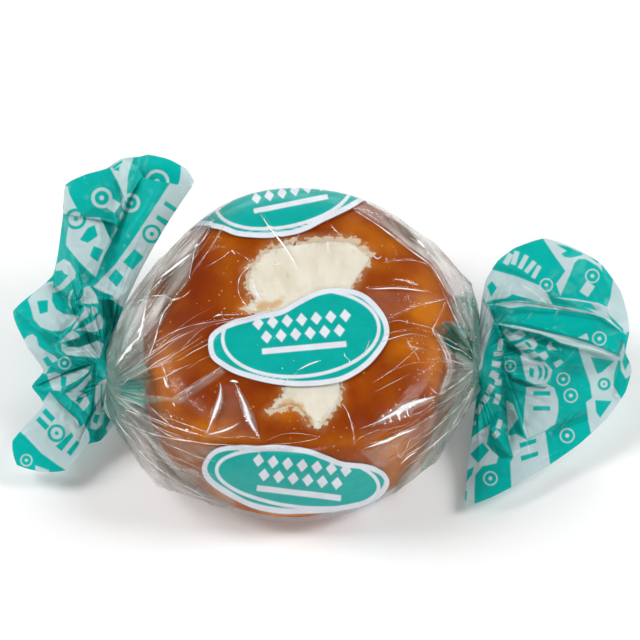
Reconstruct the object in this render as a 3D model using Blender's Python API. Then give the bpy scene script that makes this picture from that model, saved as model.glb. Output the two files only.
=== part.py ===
"""A soft caramel with a cream centre, in a clear twist wrapper.

The sweet is a thick round of caramel with a core of white cream that runs through it from face to face. One
sheet of clear film is rolled round it and twisted shut at both ends, and flares beyond each twist into a
pleated, printed fan. The film is far thinner than any solid can be, so its solid fills the air between the
sweet and the two twists, and the fans are walls of half a millimetre.

The sweet lies on one of its flat faces. X runs along the wrapper from twist to twist, +Y goes away from the
viewer and +Z up. The origin is the middle of the flat underside. Sizes are in millimetres.
"""

import math

import bmesh
import bpy
import numpy as np
from mathutils import Vector
from mathutils.bvhtree import BVHTree

MM = 0.001

# The sweet, a round pressed a little deeper than it is wide.
SWEET_WIDTH = 29.0
SWEET_DEPTH = 31.2
SWEET_HEIGHT = 13.1
EDGE_ROUNDING = 0.33  # the superellipse power of its profile: 0 is a sharp-edged drum, 1 an ellipsoid
SWEET_SEGMENTS = 56
SWEET_RINGS = 20

# The cream core, an egg in plan whose wide end is at the back.
CORE_CENTRE = (0.9, -2.0)
CORE_HALF_WIDTH = 5.9
CORE_HALF_LENGTH = 11.0
CORE_TAPER = 0.24
CORE_SEGMENTS = 44

# The wrapper.
FILM_WALL = 0.45  # how thick the film's solid is where it lies on the sweet, and in the fans
CLEARANCE = 0.25  # between pieces that touch
WAIST_RADIUS = 1.75
PRESSED = 0.3  # how far the sweet's own weight has flattened the film under it
VENT_RADIUS = 0.45  # the fine way out that a twist leaves along its middle
VENT_REACH = 3.0  # from the twist's waist into the horn
RUNGS = 40  # points on each ring of the wrapper that face the viewer, and as many that face away
FOLD_RUNGS = 1.5  # how much of a horn's hollow its folds take up, in those points
BODY_RINGS = 22
HORN_RINGS = 7
NECK_PLEATS = 11
NECK_PLEAT_DEPTH = 0.6

# Both fans lean back by this much from the upright, and face the viewer.
LEAN = math.radians(55)
ACROSS = np.array([1.0, 0.0, 0.0])
UP = np.array([0.0, math.sin(LEAN), math.cos(LEAN)])
PROUD = np.array([0.0, -math.cos(LEAN), math.sin(LEAN)])

# The film's ends. A shoulder and a gather are ovals that the film is pulled over beside the sweet and just
# before the twist: centre, half width in Y and half height. Beyond the twist each end is a flattened horn of two
# walls, joined at a fold along its top and one along its bottom. A row of its rim is a point on the front wall,
# from the top fold to the bottom one: how far it lies across, up and proud of the twist, and how much further
# out the rim of the wall behind it stands.
LEFT_END = {
    "side": -1,
    "shoulder": ((-13.6, -1.6, 6.5), 12.4, 6.4),
    "gather": ((-17.6, -1.5, 6.3), 6.0, 3.4),
    "twist": (-18.5, -1.4, 6.2),
    "flare": 1.2,
    "rim": (
        (8.2, 17.8, 0.6, 0.5),
        (7.0, 17.9, 2.6, 1.7),
        (5.3, 18.2, 3.4, 2.3),
        (3.6, 18.6, 2.4, 2.3),
        (3.0, 19.6, 0.8, 1.1),
        (1.5, 20.5, 0.0, 0.0),
        (0.0, 19.5, 0.7, 0.0),
        (-2.1, 18.9, 1.3, 0.0),
        (-4.0, 17.9, 0.6, -0.3),
        (-4.3, 14.5, -0.8, -0.6),
        (-5.2, 9.3, -1.6, -0.6),
        (-9.0, 5.8, 0.8, -0.8),
        (-7.6, 2.4, 1.4, -0.8),
        (-6.1, 0.1, -0.2, -0.6),
        (-7.2, -1.4, 0.4, -0.6),
        (-6.1, -3.2, 0.0, -0.6),
        (-9.0, -6.6, 1.6, -1.0),
        (-8.6, -8.9, 2.0, -1.0),
        (-6.2, -9.6, 2.2, -1.0),
        (-3.8, -9.4, 2.0, -0.8),
        (-1.8, -7.0, 1.0, -0.4),
        (-0.6, -6.6, 0.2, 0.0),
        (0.8, -4.9, -0.2, 0.0),
    ),
}
RIGHT_END = {
    "side": 1,
    "shoulder": ((13.2, 0.8, 6.6), 11.8, 6.3),
    "gather": ((16.6, 1.5, 6.8), 6.4, 4.0),
    "twist": (17.2, -0.8, 6.4),
    "flare": -0.3,
    "rim": (
        (0.7, 8.2, -0.2, 0.0),
        (1.8, 10.0, 0.6, -0.5),
        (3.5, 11.3, 1.0, -1.0),
        (6.3, 12.2, 1.5, -1.0),
        (9.3, 11.2, 1.8, -1.0),
        (11.7, 9.8, 1.5, -1.0),
        (13.6, 7.2, 0.9, -0.8),
        (14.3, 4.8, 1.2, -0.8),
        (14.4, 3.2, 2.9, -0.8),
        (14.0, 1.3, 3.3, -0.8),
        (14.4, 0.5, 1.0, -0.8),
        (14.7, -0.5, 0.0, -0.8),
        (14.1, -2.6, -0.1, -0.8),
        (12.3, -5.1, 0.4, -1.0),
        (9.7, -7.5, 1.0, -1.6),
        (6.4, -9.8, 1.8, -2.2),
        (3.2, -11.6, 3.2, -2.2),
        (1.0, -12.7, 3.6, -2.0),
        (-1.4, -13.6, 2.9, -0.8),
    ),
}
KNEE = 0.45  # the share of a horn's reach at which its film has turned outward
FOLD_GAP = 0.9  # between a horn's walls at its two folds
HORN_GAP = 2.0  # and how much wider it is half way between them
LOWEST = 0.15  # above the table

CARAMEL_COLOUR = (0.42, 0.12, 0.012, 1.0)
CREAM_COLOUR = (0.78, 0.73, 0.60, 1.0)
PRINTED_FILM_COLOUR = (0.10, 0.50, 0.46, 1.0)


def clear_scene():
    for old in list(bpy.data.objects):
        bpy.data.objects.remove(old)


def material(name, colour, roughness, transmission=0.0):
    made = bpy.data.materials.new(name)
    made.use_nodes = True
    shader = made.node_tree.nodes["Principled BSDF"]
    shader.inputs["Base Color"].default_value = colour
    shader.inputs["Roughness"].default_value = roughness
    shader.inputs["Metallic"].default_value = 0.0
    shader.inputs["Transmission Weight"].default_value = transmission
    return made


def object_from(name, bm, collection, finish=None):
    """Turns a bmesh in millimetres into a smooth-shaded object in metres."""
    if bm.calc_volume(signed=True) < 0:
        bmesh.ops.reverse_faces(bm, faces=bm.faces)
    bmesh.ops.scale(bm, vec=(MM, MM, MM), verts=bm.verts)
    mesh = bpy.data.meshes.new(name)
    bm.to_mesh(mesh)
    bm.free()
    mesh.shade_smooth()
    mesh.set_sharp_from_angle(angle=math.radians(40))
    if finish:
        mesh.materials.append(finish)
    made = bpy.data.objects.new(name, mesh)
    collection.objects.link(made)
    return made


def helper(made):
    """Marks an object that only cuts others, so that it is no part of the sweet."""
    made.hide_render = True
    made.display_type = "WIRE"
    return made


def boolean(target, operation, other):
    cut = target.modifiers.new(f"{operation.lower()} {other.name}", "BOOLEAN")
    cut.operation = operation
    cut.object = other
    cut.solver = "EXACT"


def sweet_shape(grow):
    """The caramel's outside, grown by grow: a rounded drum with an uneven, hand-cut outline and a flat base."""
    bm = bmesh.new()
    bmesh.ops.create_uvsphere(bm, u_segments=SWEET_SEGMENTS, v_segments=SWEET_RINGS, radius=1.0)
    base = FILM_WALL + CLEARANCE
    middle = base + SWEET_HEIGHT / 2
    for vertex in bm.verts:
        turn = math.atan2(vertex.co.y, vertex.co.x)
        flat = math.hypot(vertex.co.x, vertex.co.y)
        rise = vertex.co.z
        uneven = 1 + 0.010 * math.sin(2 * turn + 0.8) + 0.008 * math.sin(3 * turn + 2.1)
        uneven += 0.004 * math.sin(7 * turn + 0.5)
        reach = flat**EDGE_ROUNDING * uneven
        height = math.copysign(abs(rise) ** EDGE_ROUNDING, rise)
        dip = 0.3 * (1 - flat) ** 2 * (height > 0)
        vertex.co.x = reach * math.cos(turn) * (SWEET_WIDTH / 2 + grow)
        vertex.co.y = reach * math.sin(turn) * (SWEET_DEPTH / 2 + grow)
        vertex.co.z = middle + height * (SWEET_HEIGHT / 2 + grow) - dip
    return bm


def core_shape(grow):
    """A prism taller than the sweet, with the cream's outline grown by grow."""
    bm = bmesh.new()
    bmesh.ops.create_cone(
        bm, cap_ends=True, segments=CORE_SEGMENTS, radius1=1, radius2=1, depth=2 * SWEET_HEIGHT
    )
    for vertex in bm.verts:
        turn = math.atan2(vertex.co.y, vertex.co.x)
        uneven = 1 + 0.05 * math.sin(3 * turn + 0.4) + 0.03 * math.sin(5 * turn + 1.9)
        width = (CORE_HALF_WIDTH * uneven + grow) * (1 + CORE_TAPER * math.sin(turn))
        length = CORE_HALF_LENGTH * uneven + grow
        vertex.co.x = CORE_CENTRE[0] + width * math.cos(turn)
        vertex.co.y = CORE_CENTRE[1] + length * math.sin(turn)
        vertex.co.z += SWEET_HEIGHT / 2
    return bm


def ring_directions():
    """One outward direction across the wrapper for each point of a ring, from the top round by the front."""
    turn = np.pi / 2 - 2 * np.pi * (np.arange(2 * RUNGS) + 0.5) / (2 * RUNGS)
    return np.outer(np.cos(turn), PROUD) + np.outer(np.sin(turn), UP)


def pleats(twist_share):
    """How far each point of a ring stands out near a twist, where the film gathers into uneven pleats."""
    turn = np.pi * np.arange(2 * RUNGS) / RUNGS
    gathered = np.sin(NECK_PLEATS * turn + 1.3 * np.sin(2 * turn + 0.7) + 5 * twist_share)
    return NECK_PLEAT_DEPTH * twist_share * gathered


def loose_film():
    """The film between its gathers: the convex hull of the sweet and of the ovals at both ends."""
    bm = sweet_shape(CLEARANCE + FILM_WALL)
    bmesh.ops.delete(bm, geom=bm.faces[:], context="FACES_ONLY")
    for end in (LEFT_END, RIGHT_END):
        for centre, half_width, half_height in (end["shoulder"], end["gather"]):
            for step in range(RUNGS):
                turn = 2 * math.pi * step / RUNGS
                offset = Vector((0, half_width * math.cos(turn), half_height * math.sin(turn)))
                bm.verts.new(Vector(centre) + offset)
    bmesh.ops.convex_hull(bm, input=bm.verts)
    return BVHTree.FromBMesh(bm)


def body_rings():
    """Rings of the film between the twists, found by rays from the line that joins the two gathers."""
    film = loose_film()
    start, end = (np.array(end["gather"][0]) for end in (LEFT_END, RIGHT_END))
    rings = []
    for step in range(BODY_RINGS):
        share = 0.5 - 0.498 * math.cos(math.pi * step / (BODY_RINGS - 1))
        centre = start + share * (end - start)
        ring = []
        for way, stand in zip(ring_directions(), pleats(abs(2 * share - 1) ** 4)):
            distance = film.ray_cast(Vector(centre), Vector(way))[3]
            ring.append(centre + (distance + stand) * way)
        rings.append(np.array(ring))
    for ring in rings:
        ring[:, 2] = np.maximum(ring[:, 2] - PRESSED * np.clip(1 - ring[:, 2] / 7, 0, 1), 0.0)
    return rings


def smooth_curve(rows, count):
    """count points, evenly spaced by row, on a Catmull-Rom curve through the rows."""
    rows = np.array(rows)
    place = np.linspace(0, len(rows) - 1, count)
    first = np.minimum(place.astype(int), len(rows) - 2)
    t = (place - first)[:, None]
    before, a, b, after = (rows[np.clip(first + step, 0, len(rows) - 1)] for step in (-1, 0, 1, 2))
    return 0.5 * (
        2 * a
        + (b - before) * t
        + (2 * before - 5 * a + 4 * b - after) * t**2
        + (3 * a - before - 3 * b + after) * t**3
    )


def horn_rims(end):
    """The rims of a horn's front wall and of the wall behind it, measured across, up and proud of the twist."""
    across, up, proud, rise = smooth_curve(end["rim"], RUNGS).T
    front = np.column_stack((across, up, proud))
    further = 1 + rise / np.hypot(across, up)
    gap = FOLD_GAP + HORN_GAP * np.sin(np.pi * np.linspace(0, 1, RUNGS))
    table = (LOWEST - end["twist"][2] - UP[2] * up * further) / PROUD[2]
    behind = np.minimum(np.maximum(0.3 * proud - gap, table), proud - FOLD_GAP)
    return front, np.column_stack((across * further, up * further, behind))


def horn_walls(end):
    """Both walls of a horn as rows of points from the waist of the twist to the rim."""
    waist = WAIST_RADIUS * ring_directions() @ np.array([ACROSS, UP, PROUD]).T
    walls = []
    for rim, start in zip(horn_rims(end), (waist[:RUNGS], waist[: RUNGS - 1 : -1])):
        knee = start + KNEE * rim * (1, 1, 0) + (end["side"] * end["flare"], 0, 0)
        share = np.linspace(0, 1, HORN_RINGS + 1)[:, None, None]
        walls.append((1 - share) ** 2 * start + 2 * share * (1 - share) * knee + share**2 * rim)
    return walls


def inside_walls(front, back):
    """The faces of both walls inside the horn, a film's thickness in from the outer ones and from the folds."""
    place = np.linspace(FOLD_RUNGS, RUNGS - 1 - FOLD_RUNGS, RUNGS)
    first = place.astype(int)
    share = (place - first)[:, None]
    front, back = (wall[:, first] * (1 - share) + wall[:, first + 1] * share for wall in (front, back))
    half = (front - back) / 2
    size = np.linalg.norm(half, axis=2, keepdims=True)
    half *= np.maximum(1 - FILM_WALL / size, 0.3)
    middle = (front + back) / 2
    return middle + half, middle - half


def as_rings(end, front, back):
    """Each row of both walls as one ring in the wrapper's axes."""
    ring = np.concatenate((front, back[:, ::-1]), axis=1)
    return list(np.array(end["twist"]) + ring @ np.array([ACROSS, UP, PROUD]))


def horn_rings(end):
    """Rings from the waist of a twist out to the rim, and back down inside the horn to the bottom of its mouth."""
    front, back = horn_walls(end)
    inner_front, inner_back = inside_walls(front, back)
    return as_rings(end, front, back) + as_rings(end, inner_front, inner_back)[:1:-1]


def wrapper_shape():
    """The wrapper as one skin, from inside the left horn over its rim, along the film and into the right horn."""
    rings = horn_rings(LEFT_END)[::-1] + body_rings() + horn_rings(RIGHT_END)
    around = 2 * RUNGS
    bm = bmesh.new()
    rows = [[bm.verts.new(point) for point in ring] for ring in rings]
    for row, following in zip(rows, rows[1:]):
        for i in range(around):
            j = (i + 1) % around
            bm.faces.new((row[i], row[j], following[j], following[i]))
    for row, turn in ((rows[0], 1), (rows[-1], -1)):
        middle = bm.verts.new(sum((vertex.co for vertex in row), Vector()) / around)
        for i in range(around):
            bm.faces.new((row[i], middle, row[(i + 1) % around])[::turn])
    return bm


def vent_shape():
    """A fine rod from inside the sweet's hollow out through the left twist."""
    bm = bmesh.new()
    length = SWEET_WIDTH
    bmesh.ops.create_cone(
        bm, cap_ends=True, segments=8, radius1=VENT_RADIUS, radius2=VENT_RADIUS, depth=length
    )
    mouth = Vector(LEFT_END["twist"]) - Vector((VENT_REACH, 0, 0))
    for vertex in bm.verts:
        vertex.co = mouth + Vector((vertex.co.z + length / 2, vertex.co.y, vertex.co.x))
    return bm


def build():
    clear_scene()
    part = bpy.data.collections.new("wrapped_caramel")
    cutters = bpy.data.collections.new("cutters")
    for collection in (part, cutters):
        bpy.context.scene.collection.children.link(collection)

    caramel_finish = material("caramel", CARAMEL_COLOUR, 0.3)
    cream_finish = material("cream", CREAM_COLOUR, 0.6)
    film_finish = material("printed_film", PRINTED_FILM_COLOUR, 0.2, transmission=0.4)

    hollow = helper(object_from("hollow", sweet_shape(CLEARANCE), cutters))
    vent = helper(object_from("vent", vent_shape(), cutters))
    core_hole = helper(object_from("core_hole", core_shape(CLEARANCE), cutters))
    sweet_outside = helper(object_from("sweet_outside", sweet_shape(0.0), cutters))

    caramel = object_from("caramel", sweet_shape(0.0), part, caramel_finish)
    boolean(caramel, "DIFFERENCE", core_hole)

    cream = object_from("cream_centre", core_shape(0.0), part, cream_finish)
    boolean(cream, "INTERSECT", sweet_outside)

    wrapper = object_from("wrapper", wrapper_shape(), part, film_finish)
    boolean(wrapper, "DIFFERENCE", hollow)
    boolean(wrapper, "DIFFERENCE", vent)


build()
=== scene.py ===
"""Looks for a soft caramel with a cream centre in a clear twist wrapper.

Lengths here are millimetres until a mesh is made. X runs along the wrapper, +Y away from the viewer, +Z up.
"""

import math
import random

import bmesh
import bpy
import numpy as np
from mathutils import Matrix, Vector, noise
from mathutils.bvhtree import BVHTree


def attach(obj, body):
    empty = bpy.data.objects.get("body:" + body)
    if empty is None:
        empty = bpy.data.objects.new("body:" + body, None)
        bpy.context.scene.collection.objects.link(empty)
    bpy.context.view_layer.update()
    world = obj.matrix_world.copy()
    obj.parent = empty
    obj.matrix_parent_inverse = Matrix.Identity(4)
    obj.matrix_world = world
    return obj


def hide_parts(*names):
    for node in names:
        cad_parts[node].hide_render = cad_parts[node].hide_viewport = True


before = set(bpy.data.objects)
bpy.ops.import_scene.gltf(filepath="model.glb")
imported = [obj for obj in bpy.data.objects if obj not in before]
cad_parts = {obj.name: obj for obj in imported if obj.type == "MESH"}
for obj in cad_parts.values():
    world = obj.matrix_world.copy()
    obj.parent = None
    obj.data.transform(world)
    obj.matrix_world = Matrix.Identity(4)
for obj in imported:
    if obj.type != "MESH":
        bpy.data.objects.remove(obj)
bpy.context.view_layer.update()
MM = 0.001

# The camera's tilt, and the picture plane in which creases and print are laid out. It is 640 units wide and
# seen square on. A list of points in it is a text such as "10,20 30,40", across and then down.
TILT = math.radians(55)
ACROSS = np.array([1.0, 0.0, 0.0])
UP = np.array([0.0, math.sin(TILT), math.cos(TILT)])
PROUD = np.array([0.0, -math.cos(TILT), math.sin(TILT)])
UNITS = 10.41  # per millimetre
CENTRE = (299.5, 355.0)  # where the point EYE_HEIGHT above the origin shows
EYE_HEIGHT = 7.0
PICTURE_WIDTH = 640
OUTSIDE = -9.0  # a distance that is well outside every shape

# The solids' own sizes, repeated from the part's source.
SWEET_WIDTH, SWEET_DEPTH, SWEET_HEIGHT = 29.0, 31.2, 13.1
EDGE_ROUNDING = 0.33
SWEET_BASE = 0.7
WAIST_RADIUS = 1.75
PRESSED = 0.3
LEFT_END = {
    "side": -1,
    "shoulder": ((-13.6, -1.6, 6.5), 12.4, 6.4),
    "gather": ((-17.6, -1.5, 6.3), 6.0, 3.4),
    "twist": (-18.5, -1.4, 6.2),
    "flare": 1.2,
    "rim": (
        (8.2, 17.8, 0.6, 0.5),
        (7.0, 17.9, 2.6, 1.7),
        (5.3, 18.2, 3.4, 2.3),
        (3.6, 18.6, 2.4, 2.3),
        (3.0, 19.6, 0.8, 1.1),
        (1.5, 20.5, 0.0, 0.0),
        (0.0, 19.5, 0.7, 0.0),
        (-2.1, 18.9, 1.3, 0.0),
        (-4.0, 17.9, 0.6, -0.3),
        (-4.3, 14.5, -0.8, -0.6),
        (-5.2, 9.3, -1.6, -0.6),
        (-9.0, 5.8, 0.8, -0.8),
        (-7.6, 2.4, 1.4, -0.8),
        (-6.1, 0.1, -0.2, -0.6),
        (-7.2, -1.4, 0.4, -0.6),
        (-6.1, -3.2, 0.0, -0.6),
        (-9.0, -6.6, 1.6, -1.0),
        (-8.6, -8.9, 2.0, -1.0),
        (-6.2, -9.6, 2.2, -1.0),
        (-3.8, -9.4, 2.0, -0.8),
        (-1.8, -7.0, 1.0, -0.4),
        (-0.6, -6.6, 0.2, 0.0),
        (0.8, -4.9, -0.2, 0.0),
    ),
}
RIGHT_END = {
    "side": 1,
    "shoulder": ((13.2, 0.8, 6.6), 11.8, 6.3),
    "gather": ((16.6, 1.5, 6.8), 6.4, 4.0),
    "twist": (17.2, -0.8, 6.4),
    "flare": -0.3,
    "rim": (
        (0.7, 8.2, -0.2, 0.0),
        (1.8, 10.0, 0.6, -0.5),
        (3.5, 11.3, 1.0, -1.0),
        (6.3, 12.2, 1.5, -1.0),
        (9.3, 11.2, 1.8, -1.0),
        (11.7, 9.8, 1.5, -1.0),
        (13.6, 7.2, 0.9, -0.8),
        (14.3, 4.8, 1.2, -0.8),
        (14.4, 3.2, 2.9, -0.8),
        (14.0, 1.3, 3.3, -0.8),
        (14.4, 0.5, 1.0, -0.8),
        (14.7, -0.5, 0.0, -0.8),
        (14.1, -2.6, -0.1, -0.8),
        (12.3, -5.1, 0.4, -1.0),
        (9.7, -7.5, 1.0, -1.6),
        (6.4, -9.8, 1.8, -2.2),
        (3.2, -11.6, 3.2, -2.2),
        (1.0, -12.7, 3.6, -2.0),
        (-1.4, -13.6, 2.9, -0.8),
    ),
}
KNEE = 0.45
HORN_GAP = 2.0


# Helpers


def picture(points):
    """Where points in millimetres show in the picture plane, in its units."""
    up = points[..., 1] * UP[1] + (points[..., 2] - EYE_HEIGHT) * UP[2]
    return np.stack((CENTRE[0] + UNITS * points[..., 0], CENTRE[1] - UNITS * up), axis=-1)


def in_space(x, y):
    """The point of the picture plane that shows at x, y."""
    eye = np.array([0, 0, EYE_HEIGHT])
    return eye + (x - CENTRE[0]) / UNITS * ACROSS + (CENTRE[1] - y) / UNITS * UP


def as_points(places):
    """An array of points, from a list of them or from a text."""
    if isinstance(places, str):
        places = [pair.split(",") for pair in places.split()]
    return np.array(places, dtype=float)


def smoothstep(low, high, value):
    t = np.clip((value - low) / (high - low), 0, 1)
    return t * t * (3 - 2 * t)


def noise_at(points, scale, octaves=3, seed=0.0):
    """Fractal noise, about -1 to 1, at each point; scale is in cycles per millimetre."""
    flat = (points.reshape(-1, 3) * scale + seed).tolist()
    values = [noise.fractal(p, 1.0, 2.0, octaves) for p in flat]
    return np.array(values).reshape(points.shape[:-1])


def run_lengths(curve):
    """How far along a curve each of its points lies."""
    return np.concatenate(([0.0], np.cumsum(np.linalg.norm(np.diff(curve, axis=0), axis=1))))


def between(wanted, known, rows):
    """Each column of rows, looked up between its known places."""
    return np.column_stack([np.interp(wanted, known, rows[:, k]) for k in range(rows.shape[1])])


def spline(before, a, b, after, t):
    """The smooth way from a to b at t from 0 to 1, given the points before and after them."""
    return 0.5 * (
        2 * a
        + (b - before) * t
        + (2 * before - 5 * a + 4 * b - after) * t**2
        + (3 * a - before - 3 * b + after) * t**3
    )


def smooth_curve(rows, count):
    """A smooth curve of count points through all the rows."""
    rows = as_points(rows)
    place = np.linspace(0, len(rows) - 1, count)
    first = np.minimum(place.astype(int), len(rows) - 2)
    near = (rows[np.clip(first + step, 0, len(rows) - 1)] for step in (-1, 0, 1, 2))
    return spline(*near, (place - first)[:, None])


def line_distance(spots, line):
    """Distance from each spot to a polyline, and how far along it the nearest point lies, from 0 to 1."""
    line = as_points(line)
    steps = np.linalg.norm(np.diff(line, axis=0), axis=1)
    starts = run_lengths(line)
    best = np.full(spots.shape[:-1], 1e9)
    along = np.zeros(spots.shape[:-1])
    for a, b, size, start in zip(line, line[1:], steps, starts):
        way = (b - a) / size
        t = np.clip((spots - a) @ way, 0, size)
        gap = np.linalg.norm(spots - a - t[..., None] * way, axis=-1)
        closer = gap < best
        best = np.where(closer, gap, best)
        along = np.where(closer, (start + t) / starts[-1], along)
    return best, along


def polygon_field(spots, corners):
    """Signed distance to a polygon's edge, positive inside."""
    corners = as_points(corners)
    gap = line_distance(spots, np.vstack((corners, corners[:1])))[0]
    inside = np.zeros(spots.shape[:-1], dtype=bool)
    x, y = spots[..., 0], spots[..., 1]
    for (ax, ay), (bx, by) in zip(corners, np.roll(corners, -1, axis=0)):
        if ay == by:
            continue
        crosses = (ay > y) != (by > y)
        inside ^= crosses & (x < (bx - ax) * (y - ay) / (by - ay) + ax)
    return np.where(inside, gap, -gap)


def link(made):
    """Puts an object into the scene."""
    bpy.context.scene.collection.objects.link(made)
    return made


def mesh_from_grid(name, grid, close_u, attributes, material):
    """A grid of points (rows, columns, 3) in millimetres as a smooth mesh with float point attributes."""
    rows, columns = grid.shape[:2]
    index = np.arange(rows * columns).reshape(rows, columns)
    right = np.roll(index, -1, axis=1)
    last = columns if close_u else columns - 1
    quads = np.stack((index[:-1], right[:-1], right[1:], index[1:]), axis=-1)[:, :last].reshape(-1, 4)
    mesh = bpy.data.meshes.new(name)
    mesh.vertices.add(rows * columns)
    mesh.vertices.foreach_set("co", (grid.reshape(-1, 3) * MM).ravel())
    mesh.loops.add(len(quads) * 4)
    mesh.loops.foreach_set("vertex_index", quads.ravel())
    mesh.polygons.add(len(quads))
    mesh.polygons.foreach_set("loop_start", np.arange(len(quads)) * 4)
    mesh.update(calc_edges=True)
    mesh.shade_smooth()
    for key, values in attributes.items():
        attribute = mesh.attributes.new(key, "FLOAT", "POINT")
        attribute.data.foreach_set("value", np.ascontiguousarray(values, dtype=np.float32).ravel())
    mesh.materials.append(material)
    return link(bpy.data.objects.new(name, mesh))


class Nodes:
    """A material's node tree, written briefly."""

    def __init__(self, name):
        self.material = bpy.data.materials.new(name)
        self.material.use_nodes = True
        self.tree = self.material.node_tree
        self.tree.nodes.clear()
        self.output = self.tree.nodes.new("ShaderNodeOutputMaterial")

    def add(self, kind, inputs=None, **settings):
        node = self.tree.nodes.new("ShaderNode" + kind)
        for key, value in settings.items():
            setattr(node, key, value)
        for key, value in (inputs or {}).items():
            self.feed(node.inputs[key], value)
        return node

    def feed(self, socket, value):
        """Links or sets a socket. A colour of three numbers becomes an opaque one."""
        if isinstance(value, bpy.types.NodeSocket):
            self.tree.links.new(value, socket)
        elif socket.type == "RGBA" and len(value) == 3:
            socket.default_value = (*value, 1.0)
        else:
            socket.default_value = value

    def attribute(self, name):
        return self.add("Attribute", attribute_name=name, attribute_type="GEOMETRY").outputs["Fac"]

    def math(self, operation, a, b=0.0, clamp=False):
        return self.add("Math", {0: a, 1: b}, operation=operation, use_clamp=clamp).outputs[0]

    def ramp(self, value, low, high, to_low=0.0, to_high=1.0):
        made = self.add("MapRange", {0: value, 1: low, 2: high, 3: to_low, 4: to_high})
        return made.outputs[0]

    def mix_colour(self, fac, a, b):
        return self.add("Mix", {0: fac, 6: a, 7: b}, data_type="RGBA").outputs[2]

    def mix_shader(self, fac, a, b):
        return self.add("MixShader", {0: fac, 1: a, 2: b}).outputs[0]

    def noise(self, scale, detail=3.0, stretch=None):
        place = self.add("TexCoord").outputs["Object"]
        if stretch:
            place = self.add("Mapping", {"Vector": place, "Scale": stretch}).outputs[0]
        made = self.add("TexNoise", {"Vector": place, "Scale": scale, "Detail": detail, "Roughness": 0.5})
        return made.outputs["Fac"]

    def bump(self, height, strength, distance):
        return self.add("Bump", {"Height": height, "Strength": strength, "Distance": distance}).outputs[0]

    def printed(self, colour, mottle, normal):
        """Glossy ink of a colour, mottled a little."""
        shade = self.add("Mix", {0: 1.0, 6: colour, 7: mottle}, data_type="RGBA", blend_type="MULTIPLY")
        looks = {"Base Color": shade.outputs[2], "Roughness": 0.3, "Specular IOR Level": 0.20}
        return self.add("BsdfPrincipled", {**looks, "Normal": normal}).outputs[0]

    def finish(self, shader):
        self.tree.links.new(shader, self.output.inputs["Surface"])
        return self.material


# Materials

TEAL = (0.0010, 0.455, 0.405)
PALE = (0.550, 0.685, 0.705)
PLAQUE_TEAL = (0.0015, 0.350, 0.310)


def film_material():
    """Clear film: see-through with a sheen, milky where it is doubled, tinted near the twists, and printed.

    The ink and white attributes are distances to an outline, in picture units, positive inside. The milk's
    colour is painted darker where shade lies behind it, and paler elsewhere.
    """
    n = Nodes("clear_film")
    crackle = n.noise(900.0, 4.0, (0.45, 1.0, 1.0))
    fine = n.noise(2600.0, 2.0)
    height = n.math("ADD", n.math("MULTIPLY", crackle, 0.7), n.math("MULTIPLY", fine, 0.3))
    normal = n.bump(height, 0.28, 0.00012)
    clear = n.add("BsdfTransparent", {"Color": (0.985, 0.985, 0.98)}).outputs[0]
    gloss = n.add("BsdfGlossy", {"Color": (1, 1, 1, 1), "Roughness": 0.11, "Normal": normal}).outputs[0]
    edge_on = n.add("LayerWeight", {"Blend": 0.5, "Normal": normal}).outputs["Facing"]
    sheen = n.math("ADD", n.math("MULTIPLY", n.math("POWER", edge_on, 5.0), 0.9), 0.009, clamp=True)
    film = n.mix_shader(sheen, clear, gloss)
    # painted shade: the milk's colour is darker where it lies over shaded places
    milk_shading = n.mix_colour(n.attribute("milk_shading"), (0.13, 0.105, 0.07), (0.74, 0.70, 0.665))
    green = n.mix_colour(n.attribute("milk_shading"), (0.003, 0.085, 0.062), (0.09, 0.50, 0.43))
    haze_colour = n.mix_colour(n.attribute("tint"), milk_shading, green)
    milk = n.add("BsdfDiffuse", {"Color": haze_colour, "Roughness": 0.0}).outputs[0]
    cloud = n.ramp(n.noise(330.0, 5.0, (0.5, 1.0, 1.0)), 0.35, 0.68, 0.72, 1.2)
    square = n.add("LayerWeight", {"Blend": 0.5}).outputs["Facing"]
    rim = n.ramp(square, 0.82, 1.0, 0.0, 0.30)
    haze = n.math("MAXIMUM", n.math("MULTIPLY", n.attribute("haze"), cloud), rim, clamp=True)
    film = n.mix_shader(haze, film, milk)
    mottle = n.ramp(n.noise(700.0, 3.0), 0.3, 0.7, 0.93, 1.05)
    white = n.ramp(n.attribute("white"), -0.5, 0.5)
    ink = n.printed(n.mix_colour(white, PLAQUE_TEAL, (0.66, 0.69, 0.74)), mottle, normal)
    return n.finish(n.mix_shader(n.ramp(n.attribute("ink"), -0.5, 0.5), film, ink))


def fan_material():
    """Film printed all over in teal and white, with painted shade and highlights; the white attribute is a
    distance, positive in white.
    """
    n = Nodes("printed_film")
    crumple = n.noise(520.0, 4.0)
    fine = n.noise(2200.0, 2.0)
    height = n.math("ADD", n.math("MULTIPLY", crumple, 0.75), n.math("MULTIPLY", fine, 0.25))
    normal = n.bump(height, 0.30, 0.00015)
    mottle = n.ramp(n.noise(300.0, 4.0), 0.3, 0.7, 0.93, 1.05)
    white = n.ramp(n.attribute("white"), -0.5, 0.5)
    colour = n.mix_colour(white, TEAL, PALE)
    # painted shade and painted highlight: darker and lighter copies of the print colours
    in_shade = n.mix_colour(white, (0.002, 0.095, 0.082), (0.05, 0.21, 0.20))
    in_light = n.mix_colour(white, (0.02, 0.58, 0.53), (0.80, 0.86, 0.87))
    colour = n.mix_colour(n.attribute("dark"), colour, in_shade)
    colour = n.mix_colour(n.attribute("lit"), colour, in_light)
    body = n.printed(colour, mottle, normal)
    through = n.add("BsdfTranslucent", {"Color": n.mix_colour(white, TEAL, PALE)}).outputs[0]
    return n.finish(n.mix_shader(0.24, body, through))


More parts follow.
